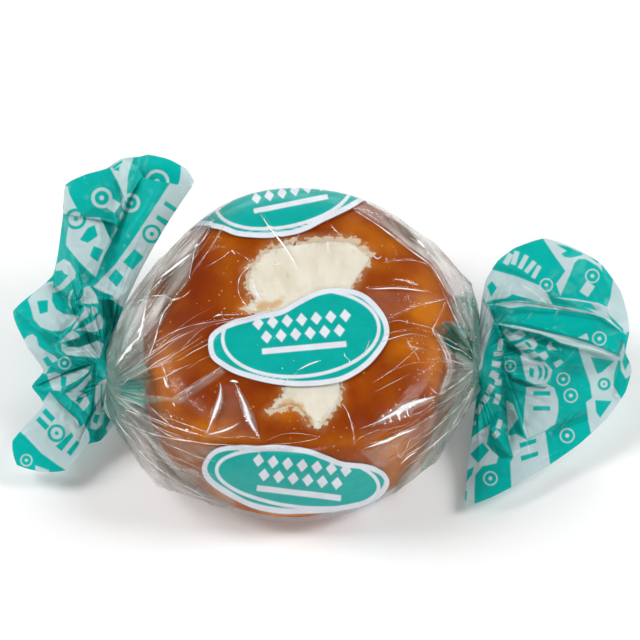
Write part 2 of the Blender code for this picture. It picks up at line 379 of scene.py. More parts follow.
def crease_material():
    """The crest of a fold in clear film, with the highlight it would catch painted on in white."""
    n = Nodes("film_crease")
    clear = n.add("BsdfTransparent", {"Color": (0.97, 0.97, 0.97)}).outputs[0]
    gloss = n.add("BsdfGlossy", {"Color": (1, 1, 1, 1), "Roughness": 0.12}).outputs[0]
    film = n.mix_shader(0.06, clear, gloss)
    broken = n.ramp(n.noise(600.0, 4.0), 0.36, 0.56, 0.35, 1.0)
    glint = n.attribute("glint")
    whole = n.math("MAXIMUM", broken, n.ramp(glint, 0.80, 0.93))
    # painted highlight: plain white where the crest would catch the light
    lit = n.add("BsdfDiffuse", {"Color": (0.98, 0.975, 0.965)}).outputs[0]
    return n.finish(n.mix_shader(n.math("MULTIPLY", glint, whole, clamp=True), film, lit))


def caramel_material():
    """Moist caramel: darker and more golden places, partly its own colour and partly painted shade and
    painted glow, a fringe of cream round the core, and pale specks.
    """
    n = Nodes("caramel")
    broad = n.noise(150.0, 4.0)
    streak = n.noise(300.0, 5.0, (1.0, 0.4, 1.0))
    grain = n.noise(1500.0, 3.0)
    colour = n.mix_colour(n.ramp(broad, 0.36, 0.64), (0.245, 0.034, 0.0007), (0.345, 0.068, 0.0009))
    colour = n.mix_colour(n.attribute("dusk_and_shade"), colour, (0.180, 0.017, 0.0006))
    colour = n.mix_colour(n.attribute("gold_and_glow"), colour, (0.53, 0.155, 0.002))
    colour = n.mix_colour(n.ramp(streak, 0.5, 0.72, 0.0, 0.35), colour, (0.22, 0.028, 0.001))
    colour = n.mix_colour(n.attribute("smear"), colour, (0.60, 0.40, 0.20))
    frayed = n.math("ADD", n.attribute("core"), n.ramp(n.noise(1700.0, 4.0), 0.3, 0.7, -0.45, 0.45))
    colour = n.mix_colour(n.ramp(frayed, -0.24, 0.0, 0.0, 0.75), colour, (0.70, 0.62, 0.47))
    spots = n.add("TexVoronoi", {"Vector": n.add("TexCoord").outputs["Object"], "Scale": 1300.0})
    speck = n.ramp(spots.outputs["Distance"], 0.10, 0.17, 0.6, 0.0)
    speck = n.math("MULTIPLY", speck, n.ramp(n.noise(330.0, 3.0), 0.53, 0.60))
    colour = n.mix_colour(speck, colour, (0.72, 0.38, 0.10))
    height = n.math("ADD", n.math("MULTIPLY", streak, 0.6), n.math("MULTIPLY", grain, 0.2))
    normal = n.bump(height, 0.5, 0.0004)
    shader = n.add(
        "BsdfPrincipled",
        {
            "Base Color": colour,
            "Roughness": n.ramp(grain, 0.3, 0.7, 0.32, 0.46),
            "Subsurface Weight": 0.25,
            "Subsurface Radius": (1.0, 0.35, 0.08),
            "Subsurface Scale": 0.0012,
            "Specular IOR Level": 0.13,
            "Normal": normal,
        },
    )
    return n.finish(shader.outputs[0])


def cream_material():
    """Matt cream with short fibres, smeared with caramel in places."""
    n = Nodes("cream")
    broad = n.noise(260.0, 4.0)
    grain = n.noise(2400.0, 3.0)
    colour = n.mix_colour(n.ramp(broad, 0.35, 0.7), (0.76, 0.715, 0.61), (0.66, 0.60, 0.47))
    fibres = n.ramp(n.noise(900.0, 4.0, (1.0, 0.35, 1.0)), 0.42, 0.62, 0.0, 0.35)
    colour = n.mix_colour(fibres, colour, (0.84, 0.81, 0.73))
    colour = n.mix_colour(n.attribute("smear"), colour, (0.56, 0.27, 0.04))
    height = n.math("ADD", n.math("MULTIPLY", broad, 0.5), n.math("MULTIPLY", grain, 0.35))
    normal = n.bump(height, 0.6, 0.0003)
    shader = n.add(
        "BsdfPrincipled",
        {
            "Base Color": colour,
            "Roughness": 0.58,
            "Subsurface Weight": 0.4,
            "Subsurface Radius": (1.0, 0.8, 0.55),
            "Subsurface Scale": 0.0012,
            "Normal": normal,
        },
    )
    return n.finish(shader.outputs[0])


def floor_material():
    n = Nodes("floor")
    grain = n.ramp(n.noise(60.0, 3.0), 0.3, 0.7, 0.93, 0.95)
    matt = n.add("BsdfDiffuse", {"Color": grain}).outputs[0]
    return n.finish(matt)


# The sweet


def sweet_point(turn, rise_share, grow):
    """Points on the sweet's skin, by turn about Z and by rise_share.

    rise_share runs from -1 at the middle of the base to 1 at the middle of the top.
    """
    flat, rise = np.cos(rise_share * math.pi / 2), np.sin(rise_share * math.pi / 2)
    uneven = 1 + 0.010 * np.sin(2 * turn + 0.8) + 0.008 * np.sin(3 * turn + 2.1)
    uneven = uneven + 0.004 * np.sin(7 * turn + 0.5)
    reach = np.abs(flat) ** EDGE_ROUNDING * uneven
    height = np.sign(rise) * np.abs(rise) ** EDGE_ROUNDING
    x = reach * np.cos(turn) * (SWEET_WIDTH / 2 + grow)
    y = reach * np.sin(turn) * (SWEET_DEPTH / 2 + grow)
    z = SWEET_BASE + SWEET_HEIGHT / 2 + height * (SWEET_HEIGHT / 2 + grow)
    return np.stack(np.broadcast_arrays(x, y, z), axis=-1)


def even_profile(count):
    """rise_share values that space rings evenly over the sweet's skin."""
    share = np.sin(np.linspace(-1, 1, 20001) * math.pi / 2)
    share = np.sign(share) * (1 - (1 - np.abs(share)) ** 3)
    skin = sweet_point(np.zeros_like(share), share, 0.0)
    length = run_lengths(skin)
    return np.interp(np.linspace(0, length[-1], count), length, share)


CREAM_OUTLINE = (
    "247,273 250,265 257,259 262,252 268,248 276,244 290,241 306,239.5 322,238.5 338,238 352,239 362,246 "
    "371,253 370,260 363,270 357,279 353,287 346,302 342,330 340,360 341,387 341,398 334,409 326,418 "
    "318,425 311,421 305,414 298,408 290,406 280,409 269,411 274,404 283,397 285,386 280,360 272,335 "
    "262,314 251,311 242,308 247,303 254,297 248,290 246,281"
)

# Small pits in the cream's upper face, as middle, size in picture units and depth in mm, and the corners of
# its caramel smears.
CREAM_PITS = ((288, 276, 1.4, 0.25), (300, 262, 1.0, 0.12), (262, 292, 1.6, 0.15))
CREAM_SMEARS = (
    "256,306 263,299 272,301 283,297 285,303 270,309 258,314",
    "266,412 286,401 302,404 314,422 300,430 270,424",
)

# Lighter, more golden places in the caramel, and darker ones, as seen from the front: partly its own colour,
# partly painted glow along its edges and painted shade, as in the dent. Middle and half sizes in picture
# units, then strength.
GOLDEN_AND_GLOW = (
    (162, 386, 14, 34, 0.95), (204, 430, 26, 10, 0.95), (225, 438, 40, 6, 0.6),
    (222, 242, 16, 9, 0.5), (352, 230, 16, 10, 0.55), (388, 246, 26, 9, 0.6),
    (382, 266, 14, 6, 0.5), (420, 282, 20, 9, 0.5), (425, 312, 18, 14, 0.8),
    (434, 362, 10, 42, 0.95), (412, 345, 20, 18, 0.6), (290, 414, 14, 8, 0.9),
    (270, 308, 16, 6, 0.6), (244, 300, 8, 10, 0.4), (180, 360, 18, 12, 0.35),
    (230, 280, 12, 24, 0.3), (340, 440, 26, 8, 0.35), (402, 450, 22, 12, 0.8),
    (190, 455, 22, 14, 0.5), (218, 496, 20, 12, 0.9), (300, 515, 90, 6, 0.6),
    (402, 470, 24, 18, 0.9), (150, 330, 10, 30, 0.3),
)
DUSKY_AND_SHADE = (
    (262, 384, 22, 11, 0.8), (195, 290, 9, 18, 0.7), (180, 320, 18, 10, 0.5),
    (352, 302, 22, 13, 0.6), (328, 233, 26, 6, 0.7), (296, 434, 30, 7, 0.5),
    (419.5, 337, 3.5, 4, 0.9), (240, 370, 16, 8, 0.5), (380, 355, 16, 14, 0.35),
    (232, 410, 16, 16, 0.3), (300, 450, 60, 6, 0.5), (206, 345, 12, 12, 0.4),
    (185, 350, 26, 60, 0.55), (215, 270, 30, 34, 0.45), (190, 400, 24, 24, 0.35),
    (420, 400, 22, 22, 0.25),
)


DENTED = (414, 343, 16, 14)  # where the caramel's side is dented, as middle and half sizes


def oval_reach(spots, x, y, half_width, half_height):
    """0 in the middle of an oval, 1 at its edge and more outside."""
    return ((spots[..., 0] - x) / half_width) ** 2 + ((spots[..., 1] - y) / half_height) ** 2


def spot_sum(spots, places):
    """Soft oval patches, laid over each other, from 0 to 1."""
    total = np.zeros(spots.shape[:2])
    for *oval, strength in places:
        total = total + strength * np.exp(-0.8 * oval_reach(spots, *oval)) * (1 - total)
    return total


def make_caramel():
    """The round of caramel, lumpy, dented at the right and a little sunken under the cream."""
    columns, rows = 300, 150
    turns = np.linspace(0, 2 * math.pi, columns, endpoint=False)
    shares = even_profile(rows)
    grid = sweet_point(turns[None, :], shares[:, None], 0.48)
    spots = picture(grid)
    top = smoothstep(0.2, 1.0, grid[..., 2] - (SWEET_BASE + SWEET_HEIGHT - 2.2))
    seen = smoothstep(0.0, 1.5, grid[..., 2] * UP[2] - grid[..., 1] * UP[1] + 4.0)
    core = polygon_field(spots, CREAM_OUTLINE) / UNITS
    sink = 0.5 * smoothstep(-0.05, 0.5, core) * top
    lumps = 0.12 * noise_at(grid, 0.16, 3, 3.0) + 0.05 * noise_at(grid, 0.6, 3, 9.0)
    dents = 0.16 * np.abs(noise_at(grid, 1.3, 3, 77.0)) * np.exp(-oval_reach(spots, *DENTED))
    middle = np.array([0.0, 0.0, SWEET_BASE + SWEET_HEIGHT / 2])
    out = grid - middle
    out[..., 2] *= 1.6
    out /= np.linalg.norm(out, axis=-1, keepdims=True)
    grid = grid + (lumps - sink - dents)[..., None] * out
    drift = noise_at(grid, 0.30, 4, 21.0)
    # painted glow and painted shade from the listed places, over a random drift in the caramel's own colour
    gold_and_glow = np.clip(spot_sum(spots, GOLDEN_AND_GLOW) * seen * (1 + 0.7 * drift) + 0.25 * np.maximum(drift, 0), 0, 1)
    dusk_and_shade = np.clip(spot_sum(spots, DUSKY_AND_SHADE) * seen * (1 + 0.7 * drift) + 0.3 * np.maximum(-drift, 0), 0, 1)
    smear = 0.25 * smoothstep(-1.0, 0.1, core + 0.6 * noise_at(grid, 0.5, 4, 5.0)) * (core < 0.1) * top
    attributes = {"gold_and_glow": gold_and_glow, "dusk_and_shade": dusk_and_shade, "smear": smear, "core": np.where(top > 0.3, core, OUTSIDE)}
    made = mesh_from_grid("caramel_round", grid, True, attributes, caramel_material())
    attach(made, "root")
    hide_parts("caramel")


def make_cream():
    """The core: an irregular plug with crumbled edges, level with the caramel at both faces."""
    outline = as_points(CREAM_OUTLINE)
    top = SWEET_BASE + SWEET_HEIGHT + 0.40
    x = (outline[:, 0] - CENTRE[0]) / UNITS
    y = ((CENTRE[1] - outline[:, 1]) / UNITS - (top - EYE_HEIGHT) * UP[2]) / UP[1]
    loop = np.stack((x, y), axis=-1)
    count = 520
    place = np.arange(count) * len(loop) / count
    first = place.astype(int)
    near = (loop[(first + step) % len(loop)] for step in (-1, 0, 1, 2))
    curve = spline(*near, (place - first)[:, None])
    centre = curve.mean(axis=0)
    shrink = np.concatenate((np.linspace(0.004, 0.9, 26), np.linspace(0.91, 1.0, 12)))
    rows = []
    for face, level in ((1, top), (-1, SWEET_BASE + 0.02)):
        rings = []
        for s in shrink:
            flat = centre + s * (curve - centre)
            fall = 0.28 * smoothstep(0.90, 1.0, np.array(s)) ** 2
            rings.append(np.column_stack((flat, np.full(count, level - face * fall))))
        rows.append(np.array(rings))
    sides = [rows[1][-1] * (1 - s) + rows[0][-1] * s for s in np.linspace(0.15, 0.85, 4)]
    grid = np.concatenate((rows[1], np.array(sides), rows[0][::-1]))
    level_grid = grid * (1, 1, 0)
    ragged = 0.14 * noise_at(level_grid, 0.9, 4, 13.0) + 0.34 * noise_at(level_grid, 2.8, 3, 17.0)
    away = grid[..., :2] - centre
    reach = np.linalg.norm(away, axis=-1)
    edge = smoothstep(0.5, 1.0, reach / np.maximum(reach.max(axis=0), 1e-6))
    grid[..., :2] += away / np.maximum(reach, 1e-6)[..., None] * (ragged * edge)[..., None]
    high = smoothstep(top - 0.6, top - 0.2, grid[..., 2])
    relief = 0.05 * noise_at(grid, 0.5, 4, 31.0) + 0.03 * noise_at(grid, 2.2, 3, 37.0)
    pits = np.zeros(grid.shape[:2])
    spots = picture(grid)
    for x, y, size, deep in CREAM_PITS:
        pits -= deep * np.exp(-(((spots[..., 0] - x) ** 2 + (spots[..., 1] - y) ** 2) / size**2))
    grid[..., 2] += high * (relief + pits)
    upper, lower = (polygon_field(spots, corners) for corners in CREAM_SMEARS)
    smear = 0.7 * high * smoothstep(-3, 4, upper + 4 * noise_at(grid, 0.9, 3, 43.0))
    smear = np.maximum(smear, 0.8 * high * smoothstep(-4, 4, lower + 5 * noise_at(grid, 0.8, 3, 41.0)))
    made = mesh_from_grid("cream_core", grid, True, {"smear": smear}, cream_material())
    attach(made, "root")
    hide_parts("cream_centre")


# The film round the sweet


def loose_film():
    """The film without its creases: a hull over the sweet and the ovals at each end, to cast rays at."""
    bm = bmesh.new()
    turns = np.linspace(0, 2 * math.pi, 96, endpoint=False)
    for point in sweet_point(turns[None, :], even_profile(60)[:, None], 0.70).reshape(-1, 3):
        bm.verts.new(point)
    for end in (LEFT_END, RIGHT_END):
        for centre, half_width, half_height in (end["shoulder"], end["gather"]):
            for turn in turns:
                offset = (0, half_width * math.cos(turn), half_height * math.sin(turn))
                bm.verts.new(Vector(centre) + Vector(offset))
    bmesh.ops.convex_hull(bm, input=bm.verts)
    return BVHTree.FromBMesh(bm)


# A crease: its line, how far it stands out in mm, its half width in picture units, how bright the highlight
# painted on its crest is, and how that painted highlight runs along it ("even", "in", "mid" or "flame").
CREASES = (
    # the two folds low on the left with bright painted highlights, the faint glow painted round them, and the
    # one that joins their feet
    ("220,382 222.5,388 221.7,398 215,417 206.7,434", 0.28, 1.0, 1.0, "even"),
    ("221,381 222,391 219,405 209,430", 0.0, 3.0, 1.0, "flame"),
    ("221,383 221,400 211,426", 0.0, 6.0, 0.16, "flame"),
    ("235,381 240,391.7 248.3,415 256,429 262,437", 0.28, 0.9, 1.0, "even"),
    ("237,385 245,404 250.5,420 260,436", 0.0, 3.7, 1.0, "flame"),
    ("238,384 249,412 260,437", 0.0, 7.0, 0.18, "flame"),
    ("230,381 235,380.6 240,382.5", 0.0, 1.7, 1.0, "mid"),
    ("206.7,434 223,430 233,426 243,420", 0.2, 1.3, 0.95, "mid"),
    ("207,434.5 228,436 246,435 262,437.4", 0.1, 0.4, 0.6, "even"),
    # upper left
    ("156,281.5 175,267 195,251", 0.25, 2.2, 1.0, "flame"),
    ("159,284.5 178,268.8 196,251", 0.0, 0.5, 0.8, "even"),
    ("152,280 172,262 190,246 201,230", 0.2, 0.4, 0.6, "even"),
    ("213,218 205,237 195,250 193,260 190,275 191.7,281.7", 0.25, 0.75, 0.9, "even"),
    ("175,300 165,312 160,325 156.7,338 148.3,361.7", 0.3, 0.95, 0.95, "even"),
    ("140,301.7 150,296.7 165,296 175,300 185,296 191.7,290", 0.2, 0.7, 0.85, "even"),
    ("168,303 174,300 182,297.5", 0.0, 1.3, 1.0, "mid"),
    ("137,345 142,331 147.5,301", 0.2, 2.2, 1.0, "flame"),
    ("117,365 128,351 143,334", 0.25, 2.8, 1.0, "flame"),
    ("138,334 141,330 144,325", 0.0, 3.0, 1.0, "flame"),
    ("137,306 140,301 146,300", 0.0, 1.2, 0.9, "flame"),
    ("122,350 131,331 139,311", 0.2, 0.7, 0.8, "mid"),
    ("194,249 196,246 199,243", 0.0, 1.2, 1.0, "mid"),
    ("148,345 158,322 172,302 186,284 192,280", 0.15, 0.4, 0.5, "even"),
    # left
    ("161.7,360 167.5,375 171,390", 0.2, 0.7, 0.8, "even"),
    ("165,376 167,381 169,388", 0.0, 2.2, 1.0, "flame"),
    ("173,397.5 195,385 220,368 224,364.5", 0.25, 0.5, 0.9, "even"),
    ("176,396 196,382.5 214,371", 0.2, 0.45, 0.85, "mid"),
    ("173,399 193,387.5 218,371", 0.0, 1.7, 0.33, "even"),
    ("147,363.4 168,360 186,345 203,329 220,323 247,318.5 265,312.5 283,303.5", 0.3, 0.5, 0.65, "even"),
    ("150,347 168,335 190,326 215,321.4 240,318", 0.25, 0.5, 0.7, "even"),
    ("152,352 178,338 200,328", 0.0, 0.5, 0.8, "mid"),
    ("213,318 218,315.5 224,314.5", 0.0, 1.2, 1.0, "mid"),
    ("222,315 240,314.6 254,313.6", 0.1, 0.5, 0.7, "in"),
    ("143,393 160,396.5 174,398", 0.2, 0.5, 0.7, "even"),
    ("146,400 158,412 172,424 178,431", 0.2, 0.5, 0.75, "even"),
    ("144,410 153,422 170,434 190,440", 0.2, 0.6, 0.7, "even"),
    ("187,428 190,429", 0.0, 1.2, 1.0, "mid"),
    ("174,401 177,406", 0.0, 0.8, 1.0, "mid"),
    ("172,414 173.5,417", 0.0, 1.0, 1.0, "mid"),
    ("177,437 207,442 232,443.5 262,446 300,446", 0.25, 0.5, 0.6, "even"),
    ("117,417 145,430 171,437 205,442 222,444.5", 0.3, 0.6, 0.85, "even"),
    ("117,419 136,445 160,468 196,490 215,503", 0.25, 0.5, 0.7, "even"),
    ("114,421 128,446 150,470 178,494", 0.2, 0.45, 0.6, "even"),
    ("146,431 160,452 176,466 203,470", 0.2, 0.45, 0.6, "even"),
    ("120,408 140,414 158,428", 0.2, 0.7, 0.6, "mid"),
    ("263,441 282,433 300,432 318,436 296,441 268,442", 0.1, 0.35, 0.6, "even"),
    # over the cream
    ("258,211 270,228 284,246 294,262 298.5,272", 0.15, 1.1, 1.0, "flame"),
    ("250,267 243,273 239,281 239,292 243,301 250,308", 0.15, 0.6, 0.95, "even"),
    ("252,277 255,288 259,297 265,302", 0.1, 0.6, 0.85, "even"),
    ("231,250 236,255", 0.0, 0.6, 0.9, "mid"),
    ("205,268 222,258 231,250", 0.1, 0.4, 0.6, "even"),
    ("231,250 245,257 254,265", 0.0, 0.3, 0.55, "even"),
    ("203,262 206,254 216,248 228,247", 0.1, 0.4, 0.5, "even"),
    ("273,263 278,265 283,262", 0.0, 0.6, 0.8, "mid"),
    ("326.5,239 328.5,250 328,256", 0.0, 0.6, 0.7, "mid"),
    # on the plaques
    ("283,384 290,377 300,371", 0.05, 0.5, 0.7, "mid"),
    ("297,370.5 310,364 321,360", 0.05, 1.5, 0.95, "flame"),
    ("362,358 366,349 370,338", 0.05, 0.7, 0.7, "mid"),
    ("342,352 351,363", 0.0, 0.4, 0.5, "mid"),
    ("223,204 213,218", 0.1, 0.6, 0.8, "even"),
    # right
    ("351.7,208.3 380,226.7 407,248 430,265 440,280 447,293.5 449,298", 0.35, 0.85, 0.9, "even"),
    ("364,216 392,235 418,254", 0.0, 0.45, 0.8, "mid"),
    ("384,213 387,216 391,217.5", 0.0, 1.2, 0.9, "mid"),
    ("384,219 389,214 393,208", 0.0, 0.5, 0.8, "mid"),
    ("408,237 421,245 429,256 435,264", 0.2, 0.6, 0.8, "even"),
    ("416,239 421,244 426,250", 0.0, 2.2, 1.0, "flame"),
    ("390,212 410,228 440,252 462,276", 0.2, 0.45, 0.6, "even"),
    ("372,200 396,212 420,230 436,250", 0.2, 0.4, 0.5, "even"),
    ("381.7,263.5 395,261 412,260.5 430,265", 0.15, 0.45, 0.6, "even"),
    ("362,289 375,289 400,288.5 432,292.5", 0.2, 0.85, 1.0, "flame"),
    ("392,279.5 405,281 412,284 419,285", 0.1, 1.3, 0.6, "even"),
    ("447,298.5 430,303 415,306 406,307", 0.2, 0.5, 0.8, "even"),
    ("385,320 400,312 420,305", 0.15, 0.45, 0.45, "even"),
    ("447,299 440,313 434,325 432,330 437,340 444,353 447,370 438,395", 0.3, 0.65, 0.8, "even"),
    ("436,333 445,348 450,366 444,388", 0.2, 0.9, 0.5, "mid"),
    ("447,299 455,318 466,338 474,362", 0.3, 0.5, 0.6, "even"),
    ("449,299 463,322 473,342", 0.2, 0.5, 0.6, "even"),
    ("432,262 446,280 459,300 470,322", 0.2, 0.5, 0.6, "even"),
    ("358,428 383,418.5 400,410 417,401.7 438,395", 0.3, 0.9, 0.95, "even"),
    ("374,422 396,411.5 408,404.5 434,395.5", 0.0, 3.6, 1.0, "flame"),
    ("370,425 398,411 434,396", 0.0, 9.0, 0.2, "flame"),
    ("360,448 375,443 400,433 419,426", 0.2, 1.6, 1.0, "flame"),
    ("374,443.5 386,439 397,435", 0.0, 2.2, 1.0, "flame"),
    ("341.7,401.7 348,413 353,432 353.5,442", 0.15, 0.6, 0.9, "even"),
    ("438,395 460,380 468,373 475,368", 0.3, 0.9, 0.7, "even"),
    ("371,383 395,367 422,343", 0.1, 0.35, 0.65, "even"),
    ("381,425 398,417 420,411 436,398", 0.15, 0.4, 0.6, "even"),
    ("352,444 360,436 381,427", 0.15, 0.4, 0.6, "even"),
    ("399,464 408,455 417,450", 0.1, 1.6, 0.95, "flame"),
    ("400,437 396,446 399,456 406,446 410,431 400,437", 0.1, 0.45, 0.6, "even"),
    ("478,372 462,420 436,458 402,486", 0.2, 0.5, 0.6, "even"),
    ("474,384 452,424 424,452 398,470", 0.2, 0.5, 0.6, "even"),
    ("330,224 336,231 342,237", 0.1, 0.6, 0.55, "mid"),
    ("340,219 336,212 352,209", 0.0, 0.4, 0.4, "even"),
    ("372,254 377,259 382,256", 0.0, 0.8, 0.8, "mid"),
    ("406,338 410,346 418,349", 0.0, 0.5, 0.6, "even"),
    ("405,341 414,352 419,362", 0.0, 0.4, 0.6, "even"),
    ("425,383 431,389 438,395", 0.1, 0.5, 0.8, "mid"),
)

# Patches where the film is doubled or stands off the sweet: corners, how milky it is, how much of the fans'
# colour it takes, and how bright its milk is painted, from shade to light.
PATCHES = (
    ("104,360 118,330 142,283 178,236 196,224 222,206 213,219 204,238 192,262 188,284 174,300 160,326 "
     "148,362 122,378", 0.5, 0.05, 0.15),
    ("156,281 194,251 203,236 214,212 196,226 170,250", 0.35, 0.0, 0.8),
    ("128,310 146,300 166,296 158,322 140,345 122,352", 0.35, 0.0, 0.75),
    ("152,342 190,326 222,320 203,330 186,345 168,360 148,363", 0.08, 0.0, 0.45),
    ("100,372 124,368 146,362 152,380 144,396 146,410 122,412 104,404", 0.6, 0.45, 0.28),
    ("108,396 143,394 174,398 150,403 118,404", 0.4, 0.6, 0.5),
    ("120,380 132,377 143,384 146,392 134,396 122,394", 0.6, 0.85, 0.3),
    ("112,408 140,414 170,436 205,442 236,446 206,458 176,462 146,436", 0.3, 0.0, 0.38),
    ("110,412 146,432 172,460 204,470 236,500 238,520 200,514 150,478 120,440", 0.36, 0.0, 0.5),
    ("146,432 172,460 200,468 196,488 160,470", 0.3, 0.0, 0.25),
    ("173,399 222,366 226,372 180,404", 0.22, 0.0, 0.6),
    ("222,384 236,382 262,437 207,434", 0.05, 0.0, 0.8),
    ("352,208 378,197 400,208 440,240 474,280 480,300 462,306 447,293 430,265 407,248 380,227", 0.5, 0.0,
     0.95),
    ("380,214 404,226 430,246 440,262 424,252 400,236", 0.22, 0.0, 0.2),
    ("449,299 458,296 474,298 483,310 484,340 483,366 470,358 460,330 453,312", 0.5, 0.4, 0.35),
    ("434,328 446,321 458,324 468,338 478,356 474,364 462,360 448,347 438,337", 0.55, 0.6, 0.12),
    ("444,334 452,326 463,330 474,344 481,364 470,366 456,358 447,346", 0.88, 1.0, 0.02),
    ("466,307 473,300 479,306 483,316 480,324 474,318 470,313", 0.8, 1.0, 0.45),
    ("459,329 464,325 470,331 467,336 461,334", 0.8, 1.0, 0.4),
    ("472,326 478,322 482,330 480,342 474,338", 0.8, 1.0, 0.3),
    ("462,360 474,360 480,368 472,372 462,367", 0.75, 0.9, 0.05),
    ("464,290 470,292 474,299 466,300", 0.4, 0.8, 0.5),
    ("433,330 440,336 450,352 455,368 444,392 436,396 446,370 442,350", 0.36, 0.0, 0.85),
    ("455,350 476,362 470,374 440,394 452,374", 0.4, 0.25, 0.35),
    ("476,366 478,402 462,434 440,462 410,486 388,500 400,476 430,440 440,396", 0.46, 0.25, 0.42),
    ("438,396 470,374 462,396 440,420 424,430", 0.25, 0.3, 0.2),
    ("360,430 438,396 430,410 400,420 364,444", 0.05, 0.0, 0.6),
    ("360,450 400,434 436,410 430,440 400,470 388,476", 0.15, 0.0, 0.65),
    ("196,446 240,444 212,452 202,470 214,490 240,506 212,504 184,470", 0.07, 0.0, 0.4),
    ("390,470 420,448 420,470 392,494 370,508", 0.1, 0.0, 0.5),
    ("232,504 300,513 372,505 352,516 300,520 256,519", 0.03, 0.0, 0.4),
    ("364,290 430,293 447,299 415,306 390,322 376,308", 0.05, 0.0, 0.7),
)


def closed_curve(corners, count):
    """A smooth loop through the corners."""
    corners = as_points(corners)
    long = np.vstack((corners[-2:], corners, corners[:3]))
    steps = 40
    fine = smooth_curve(long, (len(long) - 1) * steps + 1)
    total = steps * len(corners)
    return fine[2 * steps : 2 * steps + total : max(1, total // count)]


def leaning(x, y, lean):
    """The same places along axes that lean by an angle."""
    return x * math.cos(lean) + y * math.sin(lean), y * math.cos(lean) - x * math.sin(lean)


def oval_field(spots, centre, half_width, half_height, lean=0.0):
    """Signed distance to an oval, positive inside."""
    x, y = leaning(spots[..., 0] - centre[0], spots[..., 1] - centre[1], lean)
    q = np.sqrt((x / half_width) ** 2 + (y / half_height) ** 2) + 1e-9
    pull = np.sqrt((x / half_width**2) ** 2 + (y / half_height**2) ** 2) + 1e-9
    return -(q - 1) * q / pull


PLAQUE_BORDER = 5.2
PLAQUE_LINE = 1.7
LOZENGE_SPACING = 14.5
LOZENGE_HALF_WIDTH = 5.6
LOZENGE_ROWS = ((-12.5, 0.0), (1.5, 7.2))  # each row's height and how far it is shifted sideways
MOTIF_HALF_WIDTH = 48
BAR_MIDDLE = 15.5
BAR_HALF_WIDTH = 42
BAR_HALF_HEIGHT = 2.9

# A plaque: its outline, its inner oval, then the middle and the scale of its lozenges and bar.
PLAQUES = (
    ("211,335 209,345 212,357 221,365 238,374 267,382 296,385.5 325,384 346,379 367,366 382,349 388.5,335 "
     "387,321 379,308 367,296 354,290 335,288 317,291 298,300 280,310 260,314 234,321 220,327",
     ((301, 333), 76, 41, -0.09), ((303, 332), 1.0)),
    ("203,467 209,453 221,445 241,443 260,444 280,443 308,447 325,453 343,460 367,463 383,470 389,480 "
     "383,492 367,503 338,509 308,511.5 279,511 250,505 225,492 209,480", ((298, 477), 79, 26, 0.12),
     ((301, 476), 1.0)),
    ("190,226 199,216 216,205 234,193 262,180 300,172 350,176 382,190 368,198 350,209 334,217 321,223 "
     "308,230 292,235 267,238 238,236 222,230 206,227", ((284, 194), 68, 31, -0.2), ((288, 190), 0.9)),
)


def plaque(spots, outline, oval, motif):
    """Distances to a plaque's ink and to the white in it."""
    ink = polygon_field(spots, closed_curve(outline, 120))
    inner = oval_field(spots, *oval)
    border = PLAQUE_BORDER - ink
    line = PLAQUE_LINE - np.abs(inner + PLAQUE_LINE)
    (x, y), size = motif
    x, y = leaning((spots[..., 0] - x) / size, (spots[..., 1] - y) / size, oval[3])
    shape = np.full(x.shape, OUTSIDE)
    for k in range(-3, 4):
        for row, shift in LOZENGE_ROWS:
            place = LOZENGE_SPACING * k + shift
            if abs(place) < MOTIF_HALF_WIDTH:
                lozenge = LOZENGE_HALF_WIDTH - np.abs(x - place) - 0.85 * np.abs(y - row)
                shape = np.maximum(shape, 0.72 * lozenge)
    bar = np.minimum(BAR_HALF_HEIGHT - np.abs(y - BAR_MIDDLE), BAR_HALF_WIDTH - np.abs(x))
    return ink, np.maximum(np.maximum(border, line), size * np.maximum(shape, bar))


LEFT_HUB = (104.0, 386.0)
RIGHT_HUB = (482.0, 366.0)


def streaks(spots, count, seed):
    """Noise drawn out along the rays that spread from the nearer twist."""
    away = spots - np.where(spots[..., :1] < 300, LEFT_HUB, RIGHT_HUB)
    angle = np.arctan2(away[..., 1], np.abs(away[..., 0]) + 1e-6)
    reach = np.hypot(away[..., 0], away[..., 1])
    place = np.stack((angle * count, reach * 0.012, (spots[..., 0] > 300) * 7.0), axis=-1)
    return noise_at(place, 1.0, 3, seed)


def film_rings(film, shares, turn, ways):
    """Where rays from the line between the two gathers meet the film, and which way they go."""
    start, end = (np.array(side["gather"][0]) for side in (LEFT_END, RIGHT_END))
    grid = np.empty((len(shares), len(turn), 3))
    for row, part in enumerate(shares):
        origin = Vector(start + part * (end - start))
        for column, way in enumerate(ways):
            grid[row, column] = film.ray_cast(origin, Vector(way))[0]
    outward = grid - (start + shares[:, None] * (end - start))[:, None, :]
    return grid, outward / np.linalg.norm(outward, axis=-1, keepdims=True)


# The film's columns go round it, counted in half turns from the top edge that the viewer sees, and they are
# fine where the viewer sees them. Its rows go from gather to gather, and then down each neck to the twist.
FRONT_SHARE = (-0.24, 1.14)
BACK_SHARE = (1.14, 1.76)
FILM_COLUMNS_FRONT, FILM_COLUMNS_BACK, FILM_ROWS, NECK_ROWS = 360, 100, 330, 16
PLEATS_PER_END = 40

# Plain plaques on the underside: their middles, and the half sizes of outline and inner oval.
UNDER_MIDDLE = 335
UNDER_PLAQUES = ((299, 245), (299, UNDER_MIDDLE), (299, 425))
UNDER_OUTER = (88, 36)
UNDER_INNER = (70, 26)


